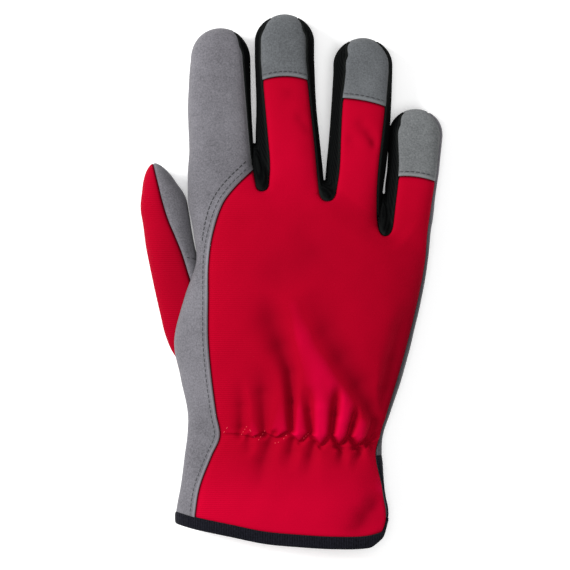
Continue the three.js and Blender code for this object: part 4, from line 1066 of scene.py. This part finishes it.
def thumb_half(outer, around=22, rings=90):
    """A grid over one half of the thumb, from the seam on its top round to the middle of its underside. The
    rings lie closer together at the tip."""
    d = THUMB_END * (1 - np.cos(np.linspace(0.0, np.pi / 2, rings))) ** RING_POWER
    d[0] = THUMB_START
    middle_x, half = thumb_middle(np.maximum(d, THUMB_NOSE))
    seam = (thumb.seam(np.maximum(d, THUMB_NOSE)) - middle_x) / half
    top = np.arccos(np.sign(seam) * np.abs(seam) ** (TOP_ROUND / 2))
    ends = (top, np.full_like(top, 1.5 * np.pi)) if outer else (np.full_like(top, -0.5 * np.pi), top)
    t = np.linspace(0, 1, around + 1)[None]
    return thumb_point(d[:, None] + 0 * t, mix(ends[0][:, None], ends[1][:, None], t))


print("thumb:", round(float(2 * thumb_middle(40.0)[1]), 1), "mm wide")

# %% Sew the thumb
welded["thumb_back_panel"] = weld([(thumb_half(True), False)])
welded["thumb_palm_panel"] = weld([(thumb_half(False), False)])
thumb_waves = waves((0.18, 24, 8), reach=5)
SHADED_FOLD = -1.3  # the outer half faces away from the window, as the bottom of a fold does
sew("thumb_back_panel", radius=1.8, depth=0.8, shape=thumb_waves, seam_shade=True)
thumb_back = made["thumb_back_panel"]
set_attribute(thumb_back.obj, "fold", np.full(2 * len(thumb_back.outer), SHADED_FOLD))
sew("thumb_palm_panel", radius=1.3, depth=0.55, shape=thumb_waves)

# %% [markdown]
# ## Binding of the cuff
#
# Tape folded over the raw edge is a rounded band that follows the cuff all the way round. A profile,
# carried along the loop of edge points, turns with the skin's outward direction at each of them.

# %% Line of the cuff
LOOP_POINTS, BAND_POINTS = 420, 24


def unit(vectors):
    """The same directions with a length of one."""
    return vectors / np.maximum(np.linalg.norm(vectors, axis=-1, keepdims=True), 1e-9)


def at_distances(run, distances, values):
    """Values given along a run, read off at other distances."""
    return np.stack([np.interp(distances, run, column) for column in values.T], -1)


def cuff_loop():
    """Edge points round the cuff with their outward directions: over the back, down, under the palm and
    up."""
    back = np.concatenate([strip_grid[0], back_grid[0, 1:]])
    line = np.concatenate([back, ulnar_grid[-1, 1:], palm_grid[0, -2::-1], radial_grid[0, -2:0:-1]])
    along = np.roll(line, -1, axis=0) - np.roll(line, 1, axis=0)
    return line, unit(np.cross([0.0, -1.0, 0.0], along))


loop, outward = cuff_loop()
step = run_along(loop)
even = np.linspace(0, step[-1], LOOP_POINTS)
loop, outward = at_distances(step, even, loop), unit(at_distances(step, even, outward))
print("binding is", round(step[-1]), "mm round the cuff")

# %% Binding tape
BAND_WIDE, BAND_NARROW, NARROWING = 5.5, 2.4, (37, 45.5)  # the tape narrows towards the side vent
BAND_SINK, BAND_HALF = 1.1, 1.6  # how far the band's middle lies inside the skin, and half its thickness
BAND_MIDDLE, BAND_REACH = 0.46, 0.54  # the middle and half of the tape's reach past the edge, in tape widths
LONG_SIDE, SHORT_SIDE = 0.55, 0.6  # powers that square the band's section


def boxed(wave, power):
    """A sine or cosine with squarer shoulders, as its power under 1."""
    return np.sign(wave) * np.abs(wave) ** power


turn_angle = np.linspace(0, 2 * np.pi, BAND_POINTS + 1)[:-1]
band_width = mix(BAND_WIDE, BAND_NARROW, smooth(loop[:, 0], *NARROWING))[:, None]
band_y = band_width * (BAND_MIDDLE - BAND_REACH * boxed(np.cos(turn_angle), LONG_SIDE))
band_out = BAND_HALF * boxed(np.sin(turn_angle), SHORT_SIDE) - BAND_SINK
band = loop[:, None] + outward[:, None] * band_out[None, :, None] - np.array([0, 1.0, 0]) * band_y[..., None]
band[..., 2] = np.maximum(band[..., 2], FLOAT_GAP)
band_number = np.arange(band[..., 0].size).reshape(band.shape[:2])
binding = mesh_object("cuff_binding_tape", band.reshape(-1, 3), quads_of(closed(closed(band_number.T).T)))
set_attribute(binding, "along", np.repeat(even, band.shape[1]))
print("binding:", band.shape[:2], "points")

# %% Tape up the side vent
VENT_TOP, VENT_FADE, VENT_COLUMNS, VENT_IN = 80.5, 86, 10, 0.3
VENT_UNDER, VENT_EDGE, VENT_MIDDLE = 0.02, 0.3, 0.55  # height over the skin: underneath, rim and middle
VENT_START = 0.35  # share of that height where the tape starts
vent = ulnar_grid[::-1]
vent = vent[vent[:, 0, 1] < -VENT_TOP, :VENT_COLUMNS].copy()
vent[:, 0, 0] -= VENT_IN
vent_out = unit(np.cross(np.gradient(vent, axis=1), np.gradient(vent, axis=0)))
up_vent, across = (np.linspace(-1, 1, count) for count in vent.shape[:2])
arch = (1 - across[None] ** 6) * (1 - up_vent[:, None] ** 30)
vent_share = mix(VENT_START, 1, smooth(-vent[..., 1], VENT_TOP, VENT_FADE))
vent_lift = mix(VENT_EDGE, VENT_MIDDLE, arch) * vent_share
vent_layers = ((vent + vent_out * lift).reshape(-1, 3) for lift in (vent_lift[..., None], VENT_UNDER))
vent_number = np.arange(vent[..., 0].size).reshape(vent.shape[:2])
vent_tape = sheet("side_vent_tape", *vent_layers, quads_of(vent_number))
set_attribute(vent_tape, "along", np.tile(vent[..., 1].ravel(), 2))
print("vent tape:", vent.shape[:2], "points")

# %% [markdown]
# ## Stitches
#
# A topstitch is a row of short thread humps, each sunk at both ends. One capsule is worked out once,
# copied along a line as arrays and turned to lie on the cloth, and a ray from above finds the cloth's
# height at each stitch.

# %% Even points on a piece
def drop_on(name, plan):
    """Points of the piece straight under plan points, with the surface's normals there."""
    piece = made[name]
    tree = BVHTree.FromPolygons((piece.outer * MM).tolist(), piece.quads.tolist())
    hits = [tree.ray_cast(Vector((x * MM, y * MM, 0.09)), Vector((0, 0, -1))) for x, y in plan]
    hits = [hit for hit in hits if hit[0] is not None]
    at, up = (np.array([hit[k] for hit in hits]).reshape(-1, 3) for k in range(2))
    return at / MM, up


def spaced(line, pitch):
    """Evenly spaced plan points along a line of plan points."""
    run = run_along(line)
    return at_distances(run, np.linspace(0, run[-1], max(2, int(run[-1] / pitch)) + 1), line)


def offset(line, by):
    """A plan line moved sideways, to its left if by is positive."""
    line, left = lap_line(line, 1)
    return line + np.reshape(by, (-1, 1)) * left


print("height of the palm's leather beside the saddle:", drop_on("palm_panel", [(-45, 0)])[0].round(1), "mm")

# %% Thread humps
SIDES, RINGS = 8, 7
HUMP, SUNK = 0.35, 0.15  # how far a stitch's middle rises and its ends sink, in thread widths


def thread(pairs, thick):
    """Thread humps between pairs of points: a capsule with 8 sides and 7 rings, arched over the cloth."""
    start, end, up = pairs
    t = np.linspace(-1, 1, RINGS)
    ring = np.linspace(0, 2 * np.pi, SIDES + 1)[:-1]
    girth = np.sqrt(np.maximum(1 - np.abs(t) ** 3, 0.04))
    side = unit(np.cross(up, end - start))
    middle_line = mix(start[:, None], end[:, None], (t / 2 + 0.5)[None, :, None])
    middle_line = middle_line + up[:, None] * (HUMP * thick * (1 - t ** 4) - SUNK * thick)[None, :, None]
    round_it = (side[:, None, None] * np.cos(ring)[None, None, :, None] +
                up[:, None, None] * np.sin(ring)[None, None, :, None])
    points = middle_line[:, :, None] + round_it * (thick / 2 * girth)[None, :, None, None]
    n = np.arange(points[..., 0].size).reshape(len(start), RINGS, SIDES)
    caps = np.concatenate([n[:, 0, ::-1], n[:, -1]])
    return points.reshape(-1, 3), quads_of(closed(n)).tolist() + caps.tolist()


LONGEST = 2.2  # a stitch longer than so many pitches would bridge a step in the cloth, and is left out


def stitch_row(name, line, pitch, fill):
    """Starts, ends and up directions of the stitches along a plan line on a piece."""
    at, up = drop_on(name, spaced(line, pitch))
    a, b = at[:-1], at[1:]
    keep = np.linalg.norm(b - a, axis=1) < LONGEST * pitch
    a, b, up = a[keep], b[keep], up[:-1][keep]
    centre, half = (a + b) / 2, (b - a) / 2 * fill
    return centre - half, centre + half, up


def rows_to_object(name, rows, thick):
    """One mesh of thread humps from rows of stitches."""
    points, faces = thread([np.concatenate([row[k] for row in rows]) for k in range(3)], thick)
    return mesh_object(name, points, faces)


print("a stitch has", SIDES * RINGS, "points")

# %% Topstitching in grey thread
GREY_WIDTH, EDGE_WIDTH, RED_WIDTH = 0.5, 0.4, 0.42
FAR_ROW, CLOSE_ROW, NEAR_ROW = 4.4, 2.0, 1.7  # distances from the saddle seam
FAR_NARROWS, FAR_FROM, NEAR_FROM = (38, -4), 16, -108  # where the far row closes in, and where both start
THUMB_ROWS = (((-50.0, 13.9), (-44.0, 13.3)), ((-49.0, 11.4), (-44.0, 10.2)))
up_saddle = saddle_line[:, 1]
far_line = offset(saddle_line, mix(FAR_ROW, CLOSE_ROW, smooth(up_saddle, *FAR_NARROWS)))
near_line = offset(saddle_line, NEAR_ROW)
near_rows = [stitch_row("palm_panel", near_line[up_saddle > NEAR_FROM], pitch=2.4, fill=0.82)]
leather_rows = [stitch_row("palm_panel", far_line[up_saddle > FAR_FROM], pitch=2.4, fill=0.84)]
for a, b in THUMB_ROWS:
    leather_rows.append(stitch_row("thumb_palm_panel", straight(a, b, 8), pitch=2.2, fill=0.8))
for name, seam in cap_seams.items():
    cap_row = seam[1:-1] + np.array([0, 1.5])
    leather_rows.append(stitch_row(f"{name}_fingertip_cap", cap_row, pitch=2.3, fill=0.86))
seam_stitches = rows_to_object("leather_topstitching", leather_rows, GREY_WIDTH)
edge_stitches = rows_to_object("saddle_edge_stitching", near_rows, EDGE_WIDTH)
print("topstitches:", sum(len(row[0]) for row in leather_rows))

# %% Zigzag of the elastic in bright red thread
ELASTIC = [  # slanting runs of short stitches, from left to right, with how many show between the folds
    ((-31.2, -70.6), (-29.2, -67.6), 2), ((-22.9, -71.4), (-20.2, -67.3), 4),
    ((-19.0, -68.6), (-16.6, -72.6), 2), ((-14.9, -73.8), (-11.9, -69.2), 4),
    ((-7.4, -75.2), (-5.2, -74.6), 2), ((-3.3, -73.4), (-1.7, -71.2), 2),
    ((5.9, -73.0), (8.4, -70.6), 3)]
dots = []
for a, b, count in ELASTIC:
    at, up = drop_on("back_panel", straight(a, b, 2 * count - 1))
    dots.append((at[::2], at[1::2], up[::2]))
elastic = rows_to_object("elastic_zigzag", dots, RED_WIDTH)
print("dashes of the elastic:", sum(len(row[0]) for row in dots))

# %% [markdown]
# ## Materials
#
# Each finish is worked out from the place on the glove, with no pictures. The class below wraps one
# socket, so that a sum or product of masks reads as arithmetic and adds Math nodes by itself.

# %% A socket that does arithmetic
class Wire:
    """A socket in a material. Python's operators on it add Math nodes, and node() adds any other kind."""

    def __init__(self, tree, socket=None):
        self.tree, self.socket = tree, socket

    def plug(self, target, value):
        """Links another wire to a node's socket, or puts a plain value into it."""
        if isinstance(value, Wire):
            self.tree.links.new(value.socket, target)
        else:
            target.default_value = value

    def node(self, kind, settings=None, inputs=None, out=0):
        """Adds a node, sets its settings first, then plugs values or wires into its sockets."""
        new_node = self.tree.nodes.new(kind)
        for key, value in (settings or {}).items():
            setattr(new_node, key, value)
        for key, value in (inputs or {}).items():
            self.plug(new_node.inputs[key], value)
        return Wire(self.tree, new_node.outputs[out])

    def math(self, operation, *values):
        """A Math node on this wire's tree, with one or two values."""
        return self.node("ShaderNodeMath", {"operation": operation}, dict(enumerate(values)))

    def __add__(self, other):
        return self.math("ADD", self, other)

    def __radd__(self, other):
        return self.math("ADD", other, self)

    def __sub__(self, other):
        return self.math("SUBTRACT", self, other)

    def __rsub__(self, other):
        return self.math("SUBTRACT", other, self)

    def __mul__(self, other):
        return self.math("MULTIPLY", self, other)

    def __rmul__(self, other):
        return self.math("MULTIPLY", other, self)

    def sin(self):
        return self.math("SINE", self)

    def minimum(self, other):
        return self.math("MINIMUM", self, other)

    def maximum(self, other):
        return self.math("MAXIMUM", self, other)

    def slope(self, start, rate, high=1.0, low=0.0):
        """A straight rise from 0 at a start, or a fall if the rate is negative, held between two values."""
        return ((self - start) * rate).minimum(high).maximum(low)

    def noise(self, scale, detail=2.0, rough=0.55):
        """Noise between 0 and 1 at this place, with scale in bumps a metre."""
        return self.node("ShaderNodeTexNoise", {"noise_dimensions": "3D"},
                         {"Vector": self, "Scale": scale, "Detail": detail, "Roughness": rough})

    def blend(self, low, high):
        """A colour between two, by this value."""
        return self.node("ShaderNodeMix", {"data_type": "RGBA"}, {0: self, 6: low, 7: high}, out=2)

    def axis(self, way):
        """One coordinate of this place, in millimetres."""
        return self.node("ShaderNodeSeparateXYZ", inputs={0: self}, out="XYZ".index(way)) * (1 / MM)

    def painted(self, name):
        """The number that a mesh keeps under this name for each of its points."""
        return self.node("ShaderNodeAttribute", {"attribute_name": name}, out=2)


print("a wire does:", [name for name in vars(Wire) if not name.startswith("_")])


# %% Colours and finishes
def colour(r, g, b):
    """Screen colour out of 255 as the linear colour that a shader takes."""
    c = np.array([r, g, b]) / 255
    linear = np.where(c < 0.04045, c / 12.92, ((c + 0.055) / 1.055) ** 2.4)
    return (*linear.tolist(), 1.0)


def finish(name, look, roughness=0.8, **fixed):
    """A material from a function that returns its colour and the height, strength and depth of its bump.
    The other values go to the shader's inputs of the same names."""
    material = bpy.data.materials.new(name)
    material.use_nodes = True
    shader = material.node_tree.nodes["Principled BSDF"]
    tree = Wire(material.node_tree)
    place = tree.node("ShaderNodeTexCoord", out=3)
    found = look(place)
    tree.plug(shader.inputs["Base Color"], found["colour"])
    shader.inputs["Roughness"].default_value = roughness
    bump = tree.node("ShaderNodeBump", inputs={"Strength": found["strength"], "Height": found["height"],
                                               "Distance": found.get("depth", 0.0003)})
    tree.plug(shader.inputs["Normal"], bump)
    for key, value in fixed.items():
        shader.inputs[key.replace("_", " ")].default_value = value
    return material


print("mid grey:", round(colour(128, 128, 128)[0], 3))


# %% Red stretch cloth
TURN = 2 * np.pi
RED_RIB, TAPE_RIB, KNIT_RIB = 0.95, 1.15, 1.0  # millimetres from rib to rib
# the last two colours are painted light: a highlight for the crests and shade for the bottom of the folds
DULL_RED, CLEAR_RED, CREST_HIGHLIGHT_RED, FOLD_SHADE_RED = (134, 0, 18), (182, 0, 40), (200, 0, 56), (40, 0, 6)


def red_look(place):
    """Fine ribs across the hand that fade towards the little finger. The shade of red adds up clouds, fuzz
    and ribs, with painted light that brightens the lower cuff and the fingers. Painted shade turns it darker
    with the depth of a fold and beside lapped seams, and a painted highlight makes it brighter on the crests."""
    x, y = place.axis("X"), place.axis("Y")
    rib = (y * (TURN / RED_RIB) + place.noise(60.0) * 1.2).sin() * x.slope(-2.0, -0.03, low=0.15)
    fuzz = place.noise(2600.0)
    cloud = place.noise(28.0)
    # painted light: the red is brighter on the lower cuff and on the fingers, where more light falls
    painted_cuff_light = y.slope(-78.0, -0.04)
    finger = ((y - 30.0) * 0.04).minimum((120.0 - y) * 0.016).maximum(0.0)
    # painted shade: close to a lapped seam the red turns darker, as in the shadow of the leather's edge
    seam = place.painted("lap_gap").slope(0.9, 1.1)
    shade = cloud * 0.25 + fuzz * 0.4 + rib * 0.12 + painted_cuff_light * 0.41 + finger * 0.22 + 0.06
    # painted shade darkens the red with the depth of a fold and by the little finger's side; a painted
    # highlight brightens the crests
    fold = place.painted("fold")
    deep = fold.slope(0.0, -0.095, 0.65) + (1.0 - seam) * 0.75
    full = fold.slope(0.3, 0.4, 0.85)
    surface = full.blend(shade.blend(colour(*DULL_RED), colour(*CLEAR_RED)), colour(*CREST_HIGHLIGHT_RED))
    return dict(colour=deep.minimum(0.9).blend(surface, colour(*FOLD_SHADE_RED)),
                height=rib * 0.5 + fuzz * 0.8, strength=0.4, depth=0.0002)


RED = finish("red_stretch_cloth", red_look, roughness=0.75, Sheen_Weight=0.08, Sheen_Roughness=0.45,
             Sheen_Tint=(1.0, 0.02, 0.12, 1.0), Specular_IOR_Level=0.02)
print(RED.name, "has", len(RED.node_tree.nodes), "nodes")


# %% Grey suede-like leather
DARK_NAP, PALE_NAP, SHADED_SIDE_GREY = (66, 65, 69), (122, 120, 126), (34, 34, 36)


def suede_look(tint):
    """Mottled nap, as three noises added up, with a painted highlight along the lapped seams, a pale edge
    where the folded leather catches the light. The side of the little finger, a product of slopes along the
    three axes, is darker with painted shade."""
    def look(place):
        nap = place.noise(1300.0, 3.0, 0.75)
        patch = place.noise(230.0, 3.0, 0.6)
        cloud = place.noise(36.0)
        # painted highlight: the folded leather edge along a lapped seam is paler
        edge_highlight = place.painted("lap_gap").slope(1.1, -1.4)
        # painted shade: the leather on the little finger's side, which faces away from the window, is darker
        side = place.axis("X").slope(38.5, 0.4) * place.axis("Y").slope(52.0, -0.025)
        side = side * place.axis("Z").slope(3.0, 0.2)
        shade = (nap - 0.5) * 1.5 + (patch - 0.5) * 0.3 + (cloud - 0.5) * 0.6 + 0.5 + edge_highlight * 0.75
        low, high = (colour(*(np.array(tone) * tint)) for tone in (DARK_NAP, PALE_NAP))
        surface = (side * 0.6).blend(shade.blend(low, high), colour(*SHADED_SIDE_GREY))
        return dict(colour=surface, height=nap + patch * 0.5, strength=0.5, depth=0.00025)
    return look


SUEDES = (("grey_suede", (1.0, 1.0, 1.0), 0.12), ("grey_suede_fingertip", (0.86, 0.90, 0.88), 0.1),
          ("grey_suede_little_finger", (1.0, 1.04, 1.0), 0.1))
SUEDE, TIP_SUEDE, PALE_TIP_SUEDE = (
    finish(name, suede_look(tint), roughness=0.95, Sheen_Weight=sheen, Sheen_Roughness=0.6,
           Specular_IOR_Level=0.08) for name, tint, sheen in SUEDES)
print(SUEDE.name, "has", len(SUEDE.node_tree.nodes), "nodes")


# %% Black knit and ribbed tape
def knit_look(place):
    """Ribs down the strip's wall, as a sine of the height and a little of the way up, with fuzz and a paler
    rim along the seams that is a painted highlight."""
    rib = ((place.axis("Y") * 0.35 + place.axis("Z")) * (TURN / KNIT_RIB)).sin()
    fuzz = place.noise(2200.0)
    # painted highlight: the knit is paler close to its seams
    rim = place.painted("lap_gap").slope(2.0, -0.9)
    return dict(colour=(fuzz * 0.5 + rib * 0.12 + rim * 0.6).blend(colour(1, 1, 2), colour(24, 26, 25)),
                height=rib + fuzz, strength=0.4, depth=0.0003)


def tape_look(place):
    """Ribs as a sine of the distance along the tape, and coarse fuzz."""
    rib = (place.painted("along") * (TURN / TAPE_RIB)).sin()
    fuzz = place.noise(1500.0)
    return dict(colour=(rib * 0.15 + (fuzz - 0.5) * 1.6 + 0.4).blend(colour(3, 3, 7), colour(28, 29, 38)),
                height=rib * 0.5 + fuzz * 0.8, strength=0.6, depth=0.0003)


KNIT = finish("black_knit", knit_look, roughness=0.95, Specular_IOR_Level=0.03)
TAPE = finish("black_ribbed_tape", tape_look, roughness=0.85, Sheen_Weight=0.04, Specular_IOR_Level=0.06)
print("knit:", len(KNIT.node_tree.nodes), "nodes, tape:", len(TAPE.node_tree.nodes))


# %% Thread
def thread_look(low, high):
    """Thread of a colour between two, by a noise, with a finer noise for its twist."""
    return lambda place: dict(colour=place.noise(900.0).blend(colour(*low), colour(*high)),
                              height=place.noise(3000.0, 1.0), strength=0.3, depth=0.0001)


FAINT_THREAD = finish("grey_thread", thread_look((50, 50, 54), (70, 70, 74)), roughness=0.7)
GREY_THREAD = finish("dark_grey_thread", thread_look((30, 31, 34), (52, 53, 56)), roughness=0.6)
RED_THREAD = finish("bright_red_thread", thread_look((190, 10, 38), (220, 48, 70)), roughness=0.5)
print("materials:", len(bpy.data.materials))

# %% Dress every piece, hang it on the frame and hide the packed parts it replaces
LOOKS = {
    "back_panel": (RED, "red_cloth"), "palm_panel": (SUEDE, "grey_leather"),
    "index_middle_strip": (KNIT, "black_knit"), "middle_ring_strip": (KNIT, "black_knit"),
    "ring_little_strip": (KNIT, "black_knit"), "middle_fingertip_cap": (TIP_SUEDE, "grey_leather"),
    "ring_fingertip_cap": (TIP_SUEDE, "grey_leather"),
    "little_fingertip_cap": (PALE_TIP_SUEDE, "grey_leather"),
    "thumb_back_panel": (RED, "red_cloth"), "thumb_palm_panel": (SUEDE, "grey_leather"),
}
for name, (material, slot) in LOOKS.items():
    obj = made[name].obj
    obj.data.materials.append(material)
    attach(obj, "root")
    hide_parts(name)
TRIMS = (
    (binding, TAPE, "black_tape"), (vent_tape, TAPE, "black_tape"),
    (seam_stitches, GREY_THREAD, "grey_leather"), (edge_stitches, FAINT_THREAD, "grey_leather"),
    (elastic, RED_THREAD, "red_cloth"),
)
for obj, material, slot in TRIMS:
    obj.data.materials.append(material)
    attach(obj, "root")
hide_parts("cuff_binding")
print("pieces:", len(LOOKS) + len(TRIMS))

# %% [markdown]
# ## Floor, light and camera
#
# The glove was photographed from straight above on white, with soft light from the upper left. A large
# area light gives soft folds, a bright sky fills the shadows, and a long lens from far above keeps the
# outline true.

# %% Floor
FLOOR_HALF, FLOOR_GLOW = 3000.0, 0.32  # the glow of a light table keeps the gaps between the fingers white
WHITE = (1.0, 1.0, 1.0, 1.0)
corners = FLOOR_HALF * np.array([(-1, -1, 0), (1, -1, 0), (1, 1, 0), (-1, 1, 0)])
floor = mesh_object("floor", corners, np.array([[0, 1, 2, 3]]))


def floor_look(place):
    """Nearly even, nearly white."""
    return dict(colour=place.noise(3.0, 3.0).blend((0.90, 0.90, 0.90, 1), (0.92, 0.92, 0.92, 1)),
                height=place.noise(40.0, 3.0), strength=0.02)


floor.data.materials.append(finish("pale_floor", floor_look, roughness=0.7, Emission_Color=WHITE,
                                   Emission_Strength=FLOOR_GLOW))
print("floor glow:", FLOOR_GLOW)

# %% Light
world = bpy.data.worlds.new("studio")
world.use_nodes = True
sky = world.node_tree.nodes["Background"].inputs
sky["Color"].default_value, sky["Strength"].default_value = WHITE, 0.34
bpy.context.scene.world = world


def area_light(name, at, size, power):
    """A round lamp at a place, turned to face the glove."""
    data = bpy.data.lights.new(name, "AREA")
    data.shape, data.size, data.energy = "DISK", size, power
    light = bpy.data.objects.new(name, data)
    light.location = at
    light.rotation_euler = (-Vector(at)).to_track_quat("-Z", "Y").to_euler()
    bpy.context.scene.collection.objects.link(light)


area_light("window", at=(-1.0, 0.35, 0.8), size=0.6, power=19.5)
area_light("fill", at=(0.15, -0.1, 1.7), size=1.2, power=15.0)
bpy.context.scene.view_settings.view_transform = "Standard"
print("lights:", len(bpy.data.lights))

# %% Camera
PIXEL, PHOTO = 0.467, 570  # millimetres of the glove to a pixel, and the photograph's width in pixels
CENTRE_X, CENTRE_Y = 290.5, 281.5  # pixel of the photograph where the glove's frame has its origin
HEIGHT, SENSOR = 1.8, 36.0
SHARP_Z = 0.015  # height over the table at which the scale holds
camera_data = bpy.data.cameras.new("camera")
camera_data.sensor_width = SENSOR
camera_data.lens = SENSOR * (HEIGHT - SHARP_Z) / (PHOTO * PIXEL * MM)
camera_data.clip_start, camera_data.clip_end = 0.05, 10
camera = bpy.data.objects.new("camera", camera_data)
camera.location = ((PHOTO / 2 - CENTRE_X) * PIXEL * MM, (CENTRE_Y - PHOTO / 2) * PIXEL * MM, HEIGHT)
bpy.context.scene.collection.objects.link(camera)
bpy.context.scene.camera = camera
print("lens:", round(camera_data.lens), "mm")
